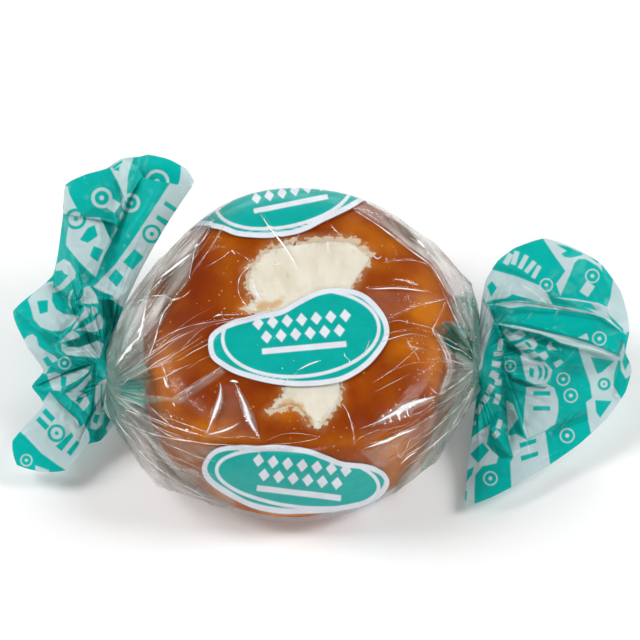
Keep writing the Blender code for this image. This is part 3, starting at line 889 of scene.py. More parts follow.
def film_pleats(grid, turn, near_end):
    """Random pleats that run out from each gather over the sweet and die away."""
    rng = random.Random(7)
    pleat = np.zeros(grid.shape[:2])
    for side in (-1, 1):
        on_side = (grid[..., 0] * side > 0) * 1.0
        for _ in range(PLEATS_PER_END):
            at = rng.uniform(-math.pi, math.pi)
            width = rng.uniform(0.03, 0.10)
            reach = rng.uniform(0.15, 1.0)
            line = turn[None, :] - at - rng.uniform(-0.3, 0.3) * (1 - near_end)
            gap = np.abs((line + math.pi) % (2 * math.pi) - math.pi)
            strength = on_side * smoothstep(1 - reach, 1.0, near_end) * rng.uniform(0.4, 1.0)
            pleat += 0.36 * np.clip(1 - gap / width, 0, 1) ** 1.3 * strength
    return pleat


def film_milk(grid, spots, facing, near_end, streak):
    """How milky the film is, how green the milk is, how bright it is painted as shade or light, and where its
    patches stand a little off.
    """
    haze, tint, stand_off = (np.zeros(grid.shape[:2]) for _ in range(3))
    milk_shading = np.full(grid.shape[:2], 0.45)
    for corners, milky, teal, bright in PATCHES:
        inside = smoothstep(-1.8, 1.8, polygon_field(spots, corners)) * facing
        haze = haze + inside * milky * (1 - haze)
        tint = tint + inside * (teal - tint)
        milk_shading = milk_shading + inside * (bright - milk_shading)
        stand_off += 0.08 * inside
    milk_shading = np.clip(milk_shading + 0.45 * streak, 0, 1)
    haze = haze * np.clip(1 + 0.7 * streaks(spots, 9.0, 31.0), 0.4, 1.5)
    tint = np.clip(tint * (1 + 1.2 * streaks(spots, 12.0, 47.0)), 0, 1)
    haze = np.maximum(haze, (0.10 + 0.30 * near_end) * (1 - facing))
    haze = haze + 0.05 * near_end * (1 - haze)
    tint = np.maximum(tint, 0.6 * smoothstep(15.0, 17.6, np.abs(grid[..., 0])))
    return haze, tint, milk_shading, stand_off


def film_plaques(grid, spots, outward, turn, seen):
    """Distances to the ink on the film and to the white in it."""
    ink = np.full(grid.shape[:2], OUTSIDE)
    white = np.full(grid.shape[:2], OUTSIDE)
    # past the crest, heights in the picture fall again: they are folded upwards, so that the print runs on
    crest = spots[..., 1].min(axis=1, keepdims=True)
    upper_turn = np.where(turn < -0.9 * math.pi, turn + 2 * math.pi, turn)
    past = upper_turn > upper_turn[spots[..., 1].argmin(axis=1)][:, None]
    unfolded = np.stack((spots[..., 0], np.where(past, 2 * crest - spots[..., 1], spots[..., 1])), axis=-1)
    for outline, oval, motif in PLAQUES:
        part, pale = plaque(unfolded, outline, oval, motif)
        part = np.where(seen | (upper_turn > math.pi / 2), part, OUTSIDE)
        white = np.where(part > ink, pale, white)
        ink = np.maximum(ink, part)
    # below, out of the viewer's sight, the film has plain plaques
    under = np.stack((spots[..., 0], UNDER_MIDDLE + UNITS * grid[..., 1]), axis=-1)
    below = (outward[..., 2] < -0.2) & ~seen
    for middle in UNDER_PLAQUES:
        part = np.where(below, oval_field(under, middle, *UNDER_OUTER), OUTSIDE)
        line = PLAQUE_LINE - np.abs(oval_field(under, middle, *UNDER_INNER) + PLAQUE_LINE)
        white = np.where(part > ink, np.maximum(PLAQUE_BORDER - part, line), white)
        ink = np.maximum(ink, part)
    return ink, white


def add_necks(grid, turn, ways):
    """The grid with the rows of film that run from each gather down to the twist."""
    necks = []
    for side, row in ((LEFT_END, grid[0]), (RIGHT_END, grid[-1])):
        waist = np.array(side["twist"]) + (WAIST_RADIUS + 0.2 * np.sin(11 * turn)[:, None]) * ways
        rings = []
        for t in np.linspace(0, 1, NECK_ROWS + 1)[1:]:
            ring = row * (1 - t) + waist * t
            bulge = side["side"] * 0.45 * math.sin(math.pi * t) * (0.4 + 0.6 * np.sin(13 * turn + 3 * t))
            rings.append(ring + bulge[:, None] * ACROSS)
        necks.append(np.array(rings))
    return np.concatenate((necks[0][::-1], grid, necks[1]))


def widen(values, fill):
    """Values for the film with one fill for both necks added."""
    edge = np.full((NECK_ROWS, values.shape[1]), fill)
    return np.concatenate((edge, values, edge))


def make_film():
    """The film between the twists: two fine sheets where the viewer sees it, and a plainer one behind."""
    film = loose_film()
    fine = np.linspace(*FRONT_SHARE, FILM_COLUMNS_FRONT)
    coarse = np.linspace(*BACK_SHARE, FILM_COLUMNS_BACK)[1:-1]
    turn = np.pi * (0.5 - np.concatenate((fine, coarse)))
    ways = np.outer(np.cos(turn), PROUD) + np.outer(np.sin(turn), UP)
    shares = 0.001 + 0.998 * np.linspace(0, 1, FILM_ROWS)
    grid, outward = film_rings(film, shares, turn, ways)
    spots = picture(grid)
    facing = smoothstep(-0.30, 0.05, outward @ PROUD)
    near_end = smoothstep(8.5, 16.5, np.abs(grid[..., 0]))
    streak = streaks(spots, 14.0, 3.0)

    rise = film_pleats(grid, turn, near_end) - 0.15 * near_end
    rise += 0.07 * noise_at(grid * (0.5, 1, 1), 0.9, 3, 55.0) * (0.3 + near_end)
    rise += 0.10 * streak * near_end
    for line, high, half_width, *_ in CREASES:
        distance, along = line_distance(spots, smooth_curve(line, 24))
        taper = np.clip(np.minimum(along, 1 - along) * 8, 0, 1)
        rise += high * np.clip(1 - distance / (3.6 * half_width), 0, 1) ** 1.4 * taper * facing
    haze, tint, milk_shading, stand_off = film_milk(grid, spots, facing, near_end, streak)
    rise += stand_off
    ink, white = film_plaques(grid, spots, outward, turn, facing > 0.3)

    full = add_necks(grid + np.clip(rise, -0.18, 1.2)[..., None] * outward, turn, ways)
    full[..., 2] = np.maximum(full[..., 2] - PRESSED * np.clip(1 - full[..., 2] / 7, 0, 1), 0.02)
    attributes = {
        "haze": np.clip(widen(haze, 0.55), 0, 0.9),
        "tint": widen(tint, 0.7),
        "milk_shading": widen(milk_shading, 0.4),
        "ink": widen(ink, OUTSIDE),
        "white": widen(white, OUTSIDE),
    }
    material = film_material()
    made = []
    seam = len(fine) - 1
    half = full.shape[0] // 2
    order = np.arange(len(turn) + 1) % len(turn)
    for name, columns, rows in (
        ("film_left", order[: seam + 1], slice(0, half + 1)),
        ("film_right", order[: seam + 1], slice(half, None)),
        ("film_behind", order[seam:], slice(0, None)),
    ):
        pick = {key: values[rows][:, columns] for key, values in attributes.items()}
        piece = mesh_from_grid(name, full[rows][:, columns], False, pick, material)
        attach(piece, "root")
        made.append(piece)
    return made


# Bundles of fine creases: the first and last line of each, and how many lie between them.
BUNDLES = (
    ("112,372 118,330 140,285 180,235 226,196", "118,372 140,345 175,300 205,255 236,208", 26),
    ("118,378 150,350 185,320 222,296", "118,392 150,385 190,370 228,352", 16),
    ("115,398 140,405 175,420 236,440", "110,412 125,450 160,485 232,516", 30),
    ("479,300 465,270 430,232 380,198", "470,350 452,310 432,272 395,238", 22),
    ("474,352 440,330 405,318 370,322", "474,372 440,368 410,372 370,392", 18),
    ("472,380 440,400 400,420 356,434", "478,392 462,432 430,470 385,500", 26),
)

# Clusters of tiny glints: middle and spread in picture units, then how many.
SPARKLES = (
    (418, 340, 14, 26), (420, 372, 10, 10), (166, 386, 8, 10), (172, 416, 9, 9), (190, 432, 9, 7),
    (255, 310, 9, 6), (300, 416, 12, 9), (150, 345, 12, 10), (225, 315, 8, 5), (462, 326, 9, 9),
    (472, 340, 9, 8), (120, 350, 12, 10), (141, 320, 12, 12), (330, 440, 28, 10), (432, 395, 9, 8),
    (405, 300, 14, 10), (340, 250, 40, 10), (240, 330, 60, 10), (470, 300, 8, 8), (215, 245, 14, 8),
    (395, 245, 20, 10), (150, 470, 18, 8), (420, 460, 18, 10),
)

# Where the few creases that cross the others lie.
CROSSING_PLACES = ((140, 330), (150, 450), (452, 300), (446, 440), (150, 270), (436, 240))

# Across a crease's crest: how far to the side, how high, and how bright its painted highlight is, as shares.
CREST = ((-1.0, 0.0, 0.0), (-0.45, 0.55, 0.9), (0.0, 1.0, 1.0), (0.45, 0.55, 0.9), (1.0, 0.0, 0.0))
CREASE_STEP = 1.6  # between points, in picture units
CREASE_JUMP = 1.5  # a crease is broken where its next point is further away than this, in mm


def random_creases():
    """Fine creases that spread from each twist over the sweet, and a few that cross them."""
    rng = random.Random(19)
    lines = []
    stations = np.linspace(0, 1, 21)
    for first, last, count in BUNDLES:
        first, last = (smooth_curve(line, len(stations)) for line in (first, last))
        for _ in range(count):
            share = rng.uniform(-0.02, 1.02)
            drift = rng.uniform(-0.2, 0.2)
            begin = rng.uniform(0, 0.75) ** 1.5
            end = min(1.0, begin + rng.uniform(0.12, 0.75))
            points = []
            for t in np.linspace(begin, end, 6):
                place, other = (between(t, stations, line)[0] for line in (first, last))
                mix = min(1.03, max(-0.03, share + drift * t))
                stray = np.array([rng.uniform(-1.3, 1.3), rng.uniform(-1.3, 1.3)])
                points.append(place + mix * (other - place) + stray)
            bright = rng.random()
            lines.append((points, 0.0, 0.26 + 0.55 * bright**2, 0.16 + 0.54 * bright, "mid"))
    for _ in range(9):
        x, y = rng.choice(CROSSING_PLACES)
        x += rng.uniform(-18, 18)
        y += rng.uniform(-35, 35)
        angle = rng.uniform(0, math.pi)
        length = rng.uniform(5, 20)
        way = length * np.array([math.cos(angle), math.sin(angle)])
        points = [np.array([x, y + 3 * t * t]) + t * way for t in (0, 0.5, 1)]
        lines.append((points, 0.0, rng.uniform(0.3, 0.8), rng.uniform(0.25, 0.8), "mid"))
    for x, y, spread, count in SPARKLES:
        for _ in range(count):
            spot = np.array([rng.gauss(x, 0.5 * spread), rng.gauss(y, 0.5 * spread)])
            angle = rng.uniform(0, math.pi)
            way = rng.uniform(0.4, 1.2) * np.array([math.cos(angle), math.sin(angle)])
            points = (spot - way, spot, spot + way)
            lines.append((points, 0.0, rng.uniform(0.22, 0.55), rng.uniform(0.6, 1.0), "flame"))
    return lines


def lay_on_film(tree, line):
    """Evenly spaced points of a line, laid on the film: place and normal of each, or None beside the film."""
    rough = smooth_curve(line, 60)
    length = run_lengths(rough)
    wanted = np.linspace(0, length[-1], max(6, int(length[-1] / CREASE_STEP)))
    found = []
    for x, y in between(wanted, length, rough):
        origin = Vector(in_space(x, y) + 60 * PROUD)
        place, normal, _, _ = tree.ray_cast(origin, Vector(-PROUD))
        found.append(None if place is None else (np.array(place), np.array(normal)))
    return found


def make_creases(film):
    """The crests of the creases, as fine ridges that lie on the film, with highlights painted on them."""
    vertices, faces = [], []
    for piece in film[:2]:
        start = len(vertices)
        vertices.extend(v.co / MM for v in piece.data.vertices)
        faces.extend([start + k for k in face.vertices] for face in piece.data.polygons)
    tree = BVHTree.FromPolygons(vertices, faces)
    points, quads, glint = [], [], []
    for line, _, half_width, strength, run in (*CREASES, *random_creases()):
        found = lay_on_film(tree, line)
        along = np.linspace(0, 1, len(found))
        row_before = None
        for k, spot in enumerate(found):
            if spot is None:
                row_before = None
                continue
            place, normal = spot
            before = found[k - 1] if k else None
            if before is not None and np.linalg.norm(place - before[0]) > CREASE_JUMP:
                row_before = None
            near = [f for f in (found[max(k - 1, 0)], found[min(k + 1, len(found) - 1)]) if f is not None]
            way = near[-1][0] - near[0][0] if len(near) == 2 else ACROSS
            if np.linalg.norm(way) < 1e-6:
                way = ACROSS
            way = way / np.linalg.norm(way)
            beside = np.cross(way, normal)
            beside /= np.linalg.norm(beside) + 1e-9
            t = along[k]
            fade = {
                "even": 0.75 + 0.25 * math.sin(t * 23.0),
                "mid": 0.25 + 0.75 * math.sin(math.pi * t),
                "flame": 1.0,
                "in": 1 - 0.8 * t,
            }[run]
            ends = min(1.0, 6 * t + 0.05, 6 * (1 - t) + 0.05)
            taper = max(0.06, math.sin(math.pi * t)) if run == "flame" else (0.4 + 0.6 * fade) * ends
            size = half_width / UNITS * taper
            first = len(points)
            for offset, high, bright in CREST:
                points.append(place + beside * offset * size + normal * (0.02 + 0.45 * size * high))
                glint.append(strength * fade * bright * (0.4 + 0.6 * ends))
            if row_before is not None:
                for m in range(len(CREST) - 1):
                    quads.append((row_before + m, row_before + m + 1, first + m + 1, first + m))
            row_before = first
    mesh = bpy.data.meshes.new("film_creases")
    mesh.from_pydata([tuple(p * MM) for p in points], [], quads)
    mesh.shade_smooth()
    attribute = mesh.attributes.new("glint", "FLOAT", "POINT")
    attribute.data.foreach_set("value", np.array(glint, dtype=np.float32))
    mesh.materials.append(crease_material())
    made = link(bpy.data.objects.new("film_creases", mesh))
    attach(made, "root")


# The fans


def even_curve(rows, count):
    """A curve between smooth and straight stretches, with its points evenly spaced along the rim."""
    rows = as_points(rows)
    place = np.linspace(0, len(rows) - 1, 4000)
    fine = 0.45 * smooth_curve(rows, len(place)) + 0.55 * between(place, np.arange(len(rows)), rows)
    length = run_lengths(fine[:, :3])
    return between(np.linspace(0, length[-1], count), length, fine)


def horn(end, columns, rows, behind=False):
    """One wall of a fan as a grid from its twist to its rim, local (across, up, proud) of the twist."""
    rim4 = even_curve(end["rim"], columns)
    across, up, proud, rise = rim4.T
    if behind:
        further = 1 + rise / np.hypot(across, up)
        gap = HORN_GAP * np.sin(np.pi * np.linspace(0, 1, columns)) ** 0.6 + 0.05
        table = (0.15 - end["twist"][2] - UP[2] * up * further) / PROUD[2]
        deep = np.minimum(np.maximum(0.3 * proud - gap - 0.3, table), proud - 0.05)
        rim = np.column_stack((across * further, up * further, deep))
    else:
        rim = np.column_stack((across, up, proud))
    turn = np.pi / 2 - np.pi * (np.arange(columns) + 0.5) / columns
    sign = -1 if behind else 1
    start = WAIST_RADIUS * np.column_stack((np.zeros(columns), np.sin(turn), sign * np.cos(turn)))
    knee = start + KNEE * rim * (1, 1, 0) + (end["side"] * end["flare"], 0, 0)
    share = np.linspace(0, 1, rows)[:, None, None]
    return (1 - share) ** 2 * start + 2 * share * (1 - share) * knee + share**2 * rim


def to_world(end, local):
    return np.array(end["twist"]) + local @ np.array([ACROSS, UP, PROUD])


# Print on the fans. Shapes are painted in order: 1 for white or 0 for teal, then corners. A ring: middle,
# outer radius, band, 1 or 0. A mark is a white bar: middle, half width, half height, lean in radians.
LEFT_SHAPES = (
    (1, "110,168 121,158 128,153 137,152 131,165 128,177 127,190 127,203 123,194 118,182"),
    (0, "112,167 122,160 123,162 114,169"),
    (0, "113,170 120,166 119,171"),
    (1, "62,183 68,187 70,195 75,205 81,214 80,217 68,215 56,212 56,206 62,198"),
    (0, "58,205 64,203 64,209 58,210"),
    (1, "68,215 84,217 100,218 105,226 112,241 104,256 96,277 80,262 66,245 67,230"),
    (0, "56,212 67,215 69,224 67,237 60,238 56,225"),
    (0, "88,228 95,225 98,236 88,243 80,240"),
    (0, "94,246 104,250 98,262 90,256"),
    (0, "101,218 118,224 111,241 107,232"),
    (1, "56,264 64,259 70,262 76,272 75,278 62,290 53,293 50,286 58,278 66,276 62,270 55,271"),
    (0, "58,272 69,275 60,285 54,288 52,284"),
    (1, "53,281 44,283 36,289 28,300 31,308 34,319 41,327 52,331 62,331 72,325 80,317 76,315 64,314 56,309 "
     "52,301 52,292"),
    (0, "37,301 48,300 48,312 40,314"),
    (1, "74,289 71,296 70,303 72,309 69,305 68,298 71,291"),
    (1, "84,288 90,286 96,294 99,303 90,304 82,303 80,300 84,294"),
    (1, "85,306 91,309 89,316 82,321 75,329 72,330 77,322 84,312"),
    (1, "92,306 97,308 98,312 94,316 92,312"),
    (1, "75,330 84,327 94,321 100,314 104,320 103,328 96,332 85,331"),
    (0, "82,324 92,318 96,319 88,324"),
    (1, "60,343 66,336 73,330 79,334 80,338 70,340"),
    (1, "62,343 68,347 80,347 98,341 104,344 100,358 80,356 68,355 62,350"),
    (1, "22,342 28,336 33,334 37,337 39,346 46,351 55,356 59,360 52,363 46,374 38,372 30,362"),
    (0, "43,359 48,356 54,364 48,367"),
    (1, "47,374 55,372 61,374 63,384 61,391 53,390 49,381"),
    (1, "63,375 74,372 91,366 88,373 78,380 66,386 61,380"),
    (0, "61,376 67,377 66,387 61,386"),
    (1, "71,391 80,385 92,372 91,379 84,389 76,392"),
    (1, "66,393 78,391 86,394 90,403 84,411 78,404 70,398"),
    (0, "78,396 84,398 80,404 76,401"),
    (1, "50,392 56,400 78,420 80,428 84,424 89,432 90,440 82,458 70,472 60,466 42,453 26,436 16,427 28,413 "
     "44,400"),
    (0, "36,420 40,416 50,426 46,430"),
    (0, "42,412 46,408 56,418 52,422"),
    (0, "56,446 72,432 74,436 62,451"),
    (0, "67,452 77,440 80,443 71,456"),
    (1, "96,386 101,381 108,378 110,387 108,400 104,410 97,412 95,400"),
    (0, "101,384 103,384 102,398 104,404 101,410"),
    (1, "91,420 96,410 104,412 102,424 96,430 90,428"),
    (0, "95,414 100,415 97,424 93,422"),
    (1, "112,416 115,424 108,433 106,428"),
    (1, "172,181 202,187 190,212 174,240 156,266 136,294 124,308 112,300 94,287 104,276 116,264 136,236 "
     "156,206"),
    (0, "166,201 178,209 176,213 164,205"),
    (0, "158,215 170,222 167,227 156,219"),
    (0, "135,249 144,257 133,270 123,262"),
    (0, "116,269 124,277 117,287 108,278"),
    (0, "94,289 112,295 115,299 100,296"),
    (1, "120,222 124,216 123,211 120,215"),
    (1, "111,240 118,229 116,227"),
    (1, "36,465 50,470 49,474 36,470"),
)
LEFT_RINGS = (
    (102, 198, 10.5, 3.4, 1), (131, 203, 9.6, 3.4, 1), (152, 234, 9.4, 3.0, 0),
    (57, 433, 9.0, 3.0, 0), (27, 460, 6.2, 1.4, 1), (65, 363, 6.6, 1.5, 1), (76, 219, 10.5, 3.2, 0),
)
LEFT_MARKS = ((114, 206, 4.5, 5.5, 0.6),)
RIGHT_SHAPES = (
    (1, "541,236 548,234 559,238 583,249 600,256 602,272 597,266 585,259 578,259 574,263 570,274 560,296 "
     "556,284 565,271 555,257"),
    (0, "561,254 566,251 580,252 583,255 570,258 564,257"),
    (0, "555,244 568,247 580,253 568,252"),
    (0, "588,256 598,260 598,264"),
    (1, "613,279 628,290 634,330 624,333 616,318 607,306 610,298"),
    (1, "490,269 518,277 540,286 547,294 552,305 530,300 500,299 484,303 478,292 482,279"),
    (0, "487,286 492,281 497,288 491,297"),
    (0, "486,301 506,298 512,294 522,297 534,300 516,300 500,302"),
    (1, "487,305 505,302 520,301 545,304 575,309 593,313 604,318 590,314 560,310 527,306 510,308 497,305"),
    (1, "553,297 575,299 598,303 612,309 622,322 626,335 614,326 604,318 590,310 574,302"),
    (0, "562,299 590,303 598,311 586,308"),
    (0, "606,312 622,328 623,333 612,322"),
    (1, "492,323 515,326 540,331 569,337 600,348 620,357 620,361 600,354 580,348 560,343 552,338 540,334 "
     "512,328"),
    (1, "577,338 586,333 588,340"),
    (1, "619,352 623,343 624,352 622,362 625,371 629,362 634,372 626,379 621,370"),
    (1, "577,347 592,352 618,359 614,374 613,385 622,400 612,418 592,438 588,420 586,402 592,398 590,384"),
    (0, "590,357 614,361 602,372 597,374 594,366"),
    (0, "595,400 612,401 600,418 596,412"),
    (1, "526,387 547,384 554,388 558,400 558,412 555,424 546,430 527,439 523,428 524,412 525,400"),
    (0, "533,391 550,391 550,395.5 533,395.5"),
    (0, "533,406 550,406 550,410.5 533,410.5"),
    (1, "527,440 545,431 548,452 550,466 530,478 511,491 510,462 513,457 508,436 516,434"),
    (0, "519,443 536,438 536,442.5 520,448"),
    (0, "520,456 538,451 538,455.5 521,461"),
    (1, "506,400 513,404 518,418 514,424 508,432"),
    (1, "472,437 480,431 490,424 488,436 486,444 498,456 496,463 482,466 475,475 474,490 474,508 462,513 "
     "461,495 461,478 468,456"),
    (0, "470,454 482,442 489,450 478,463"),
    (0, "464,472 474,466 472,474 466,482"),
    (0, "460,490 467,491 466,500 460,500"),
    (1, "477,288 488,305 494,320 488,340 484,352 482,366 479,372 475,356 480,330 480,315"),
    (1, "502,332 506,328 512,333 520,330 526,335 518,340 510,341"),
    (1, "514,345 524,341 533,337 537,344 534,350 528,349 521,352"),
    (0, "524,342 527,341 532,347 529,348"),
    (1, "520,351 528,354 534,351 540,355 532,359 524,358"),
    (1, "537,354 545,351 548,356 544,361"),
    (1, "546,346 550,341 552,346 557,350 548,350"),
    (1, "553,363 560,359 563,362 556,368"),
    (1, "520,355 530,359 545,362 552,370 550,378 546,384 534,384 526,380 523,368"),
    (0, "529,367 534,369 533,378 529,376"),
    (0, "537,364 542,369 542,376 537,381 539,373"),
    (0, "543,364 548,369 547,377 543,381 545,372"),
)
RIGHT_RINGS = (
    (546, 285, 6.8, 1.4, 1), (592, 276, 7.2, 1.4, 1), (598.5, 338.5, 7.2, 1.4, 1),
    (563, 379, 6.8, 1.4, 1), (570.6, 395.5, 7.2, 1.4, 1), (510, 366, 6.0, 1.2, 1),
    (567, 435.5, 7.5, 1.4, 1), (490, 478, 7.2, 1.4, 1), (604, 384, 6.5, 2.8, 0),
)
RIGHT_MARKS = (
    (508, 259, 2.8, 6.0, 0.5), (515, 258, 2.6, 7.0, 0.3), (523, 262, 2.4, 7.5, 0.5),
    (530, 267, 2.4, 7.0, 0.7), (536, 272, 2.2, 7.0, 0.5), (500, 345, 2.4, 6.0, 0.1),
    (498, 354, 4.6, 2.2, 0.0), (496, 364, 4.4, 3.0, 0.2), (494, 375, 4.4, 3.6, 0.5),
    (498, 382, 3.4, 3.0, 0.1), (490, 389, 3.0, 4.6, 0.5), (485, 399, 3.2, 3.6, 0.6),
    (497, 399, 3.0, 5.0, 0.3), (479, 409, 2.2, 5.2, 0.5), (474, 423, 1.8, 2.2, 0.3),
    (499, 424, 2.4, 4.6, 0.3), (496, 434, 3.0, 3.6, 0.8), (587, 289, 5.0, 6.4, 0.6),
)
LEFT_PRINT = (LEFT_SHAPES, LEFT_RINGS, LEFT_MARKS)
RIGHT_PRINT = (RIGHT_SHAPES, RIGHT_RINGS, RIGHT_MARKS)

# The inner side of each fan's far wall, where it shows over the rim: down to which height in the picture,
# then its print.
LEFT_INNER = (
    192,
    ((1, "100,174 112,156 128,148 136,148 131,165 127,182 124,210 114,200"), (1, "181,158 204,178 200,196 "
     "168,192 179,184 181,172")),
    ((157, 182, 12.5, 3.2, 1),),
    (),
)
RIGHT_INNER = (
    262,
    ((1, "538,238 560,236 600,256 604,270 570,262"),),
    (),
    (),
)

# Shade: corners, strength, then over how many units its edge fades. Light: line, half width, strength.
LEFT_SHADE = (
    ("101,218 118,224 111,241 107,232", 0.75, 1),
    ("99,219 104,226 111,241 104,255 96,277 86,266 95,254 101,240", 0.28, 1),
    ("98,299 119,299 119,316 112,334 104,339 106,322 100,310", 0.9, 1.5),
    ("79,262 95,278 90,284 82,286 78,276", 0.45, 2),
    ("110,169 118,183 124,196 126,204 119,222 113,214 121,204 116,190", 0.45, 2),
    ("86,214 94,206 106,208 114,216 116,223 100,218", 0.3, 1.5),
    ("78,337 88,332 95,334 104,337 95,342 80,348 70,347 66,343", 0.85, 1.2),
    ("62,344 70,348 98,342 98,350 80,354 66,351", 0.25, 1.5),
    ("57,347 66,357 96,361 92,364 70,362 57,355", 0.4, 1.5),
    ("34,327 52,332 62,338 58,350 48,345 40,334", 0.45, 1.5),
    ("70,309 81,310 76,318 64,314", 0.5, 1),
    ("44,373 60,374 92,366 92,362 60,370", 0.35, 1),
    ("33,388 50,391 60,391 56,396 44,396", 0.3, 1),
    ("66,387 90,371 92,373 76,388 64,393", 0.4, 0.8),
    ("94,363 97,363 96,384 94,404 91,414 91,390", 0.75, 0.8),
    ("96,430 104,425 104,440 96,443 92,438", 0.6, 1.5),
    ("110,392 121,392 121,402 110,424 103,436 104,418", 0.45, 2),
    ("88,286 98,288 112,298 98,296", 0.45, 1),
    ("98,300 104,304 106,316 100,328 97,318", 0.35, 2),
    ("66,318 72,320 64,334 58,340 56,334", 0.4, 1.5),
    ("76,296 82,303 80,310 75,304 72,298", 0.35, 1),
    ("189,190 198,190 178,228 152,264 134,290 128,290 150,258 176,216", 0.16, 3),
    ("84,296 88,290 92,296 88,302", 0.2, 1),
    ("80,412 86,410 92,416 92,440 88,430", 0.4, 1),
    ("60,330 74,324 70,332 62,336", 0.35, 1),
)
LEFT_LIGHT = (
    ("158,183 149,200 137,220 118,244", 1.8, 0.55),
    ("141,178 133,190 126,204 118,224 108,246 98,268 94,280", 0.8, 0.4),
    ("88,284 80,290 76,300 83,308 72,325 60,340 58,349 66,356 78,359 96,361", 2.0, 0.75),
    ("98,364 104,372 107,384", 3.2, 0.7),
    ("92,372 90,392 87,412", 1.6, 0.6),
    ("50,331 57,335 62,340", 0.8, 0.7),
    ("84,176 86,179.5", 0.9, 1.0),
    ("87,182 89,185", 0.8, 0.9),
    ("92,186 96,187 100,184", 0.7, 0.8),
    ("76,199 78,196", 0.7, 0.8),
    ("80,217 100,218.5 116,223", 0.8, 0.6),
    ("66,245 80,262 95,277", 0.6, 0.35),
    ("33,327 46,330 58,337", 0.7, 0.45),
    ("44,372 62,371 90,363", 0.8, 0.5),
    ("66,353 82,351 98,349", 1.0, 0.5),
    ("86,310 80,320 73,328", 1.0, 0.8),
    ("86,290 84,296 81,300", 0.8, 0.6),
    ("98,384 97,396 97,408", 1.2, 0.7),
    ("107,380 108,392 105,406", 1.0, 0.8),
    ("64,388 80,378 92,369", 0.6, 0.6),
    ("14,312 22,332 40,366", 0.7, 0.35),
    ("66,262 70,265", 1.0, 0.9),
)
RIGHT_SHADE = (
    ("492,309 500,306 520,309 560,312 600,318 612,328 596,321 560,315 520,314 498,318", 0.4, 1.2),
    ("490,310 498,309 510,314 504,322 492,321", 0.5, 2),
    ("500,320 530,325 560,333 590,341 619,355 619,358 588,346 556,337.5 525,330 496,325", 0.55, 1),
    ("496,327 512,330 540,336 556,342 576,348 600,354 618,361 600,361 584,352 568,350 552,347 536,341 "
     "512,334 502,334", 0.62, 1.2),
    ("503,338 512,344 524,351 520,356 508,350", 0.75, 1.2),
    ("507,373 520,379 532,384 548,386.5 544,389 526,387 512,382", 0.9, 0.8),
    ("500,326 512,330 516,334 508,337 502,332", 0.7, 1),
    ("499,350 504,358 512,385 524,414 517,410 506,385", 0.5, 1.2),
    ("508,408 514,411 519,424 525,437 516,432 510,420", 0.55, 1),
    ("488,441 496,445 513,458 500,458 490,450", 0.45, 1),
    ("549,433 566,424 588,412 589,420 568,428 550,440", 0.35, 2),
    ("590,357 618,361 612,368 594,362", 0.25, 1.5),
    ("543,288 556,297 576,305 576,309 552,306 546,297", 0.4, 1),
    ("478,372 484,366 486,390 480,420 474,428 470,420 478,396", 0.3, 2),
    ("619,338 624,340 621,352 617,356", 0.5, 1),
    ("500,410 508,408 512,440 512,456 504,440", 0.3, 2),
    ("536,340 546,342 546,350 538,350", 0.5, 1),
    ("548,352 560,354 558,360 550,362", 0.4, 1),
    ("512,352 520,354 524,372 518,376 510,362", 0.25, 1.5),
    ("590,302 600,306 602,312 592,308", 0.35, 1),
    ("491,268 520,276 541,285 536,279 516,271 496,264", 0.25, 2),
)
RIGHT_LIGHT = (
    ("521,285 534,292.5 547,304", 1.4, 1.0),
    ("528,284 540,293 550,302", 0.6, 0.6),
    ("488,304 505,302 530,301.5 552,306 578,310 600,314", 0.9, 0.6),
    ("576,308 592,312 612,323 623,335", 1.0, 0.75),
    ("494,323 512,325.5 532,330 550,335 576,342", 1.1, 0.75),
    ("509,317 515,320", 0.9, 0.9),
    ("544,328 548,329", 1.0, 1.0),
    ("560,331 568,334", 0.8, 0.8),
    ("558,368 566,360 574,350", 1.2, 1.0),
    ("504,372 510,386 518,408 527,438", 1.0, 0.95),
    ("500,340 508,356 512,366", 0.6, 0.5),
    ("492,316 499,330 503,340 506,354", 1.2, 0.55),
    ("488,312 489,332 486,352", 2.2, 0.6),
    ("484,300 486,325 481,356", 4.5, 0.55),
    ("496,340 498,370 494,400", 5.0, 0.3),
    ("600,300 610,308", 0.7, 0.8),
    ("562,426 568,420 573,413", 0.6, 0.7),
    ("542,457 550,455 558,450", 0.9, 0.7),
    ("478,380 476,400 473,420", 0.7, 0.4),
    ("521,357 532,362 542,364", 1.0, 0.8),
    ("552,372 552,378 548,384", 0.8, 0.6),
    ("556,304 576,308", 0.6, 0.6),
    ("598,262 612,280", 0.6, 0.5),
    ("515,452 520,450", 0.9, 0.9),
    ("494,442 512,457", 0.7, 0.5),
    ("614,395 620,396", 0.9, 0.8),
)

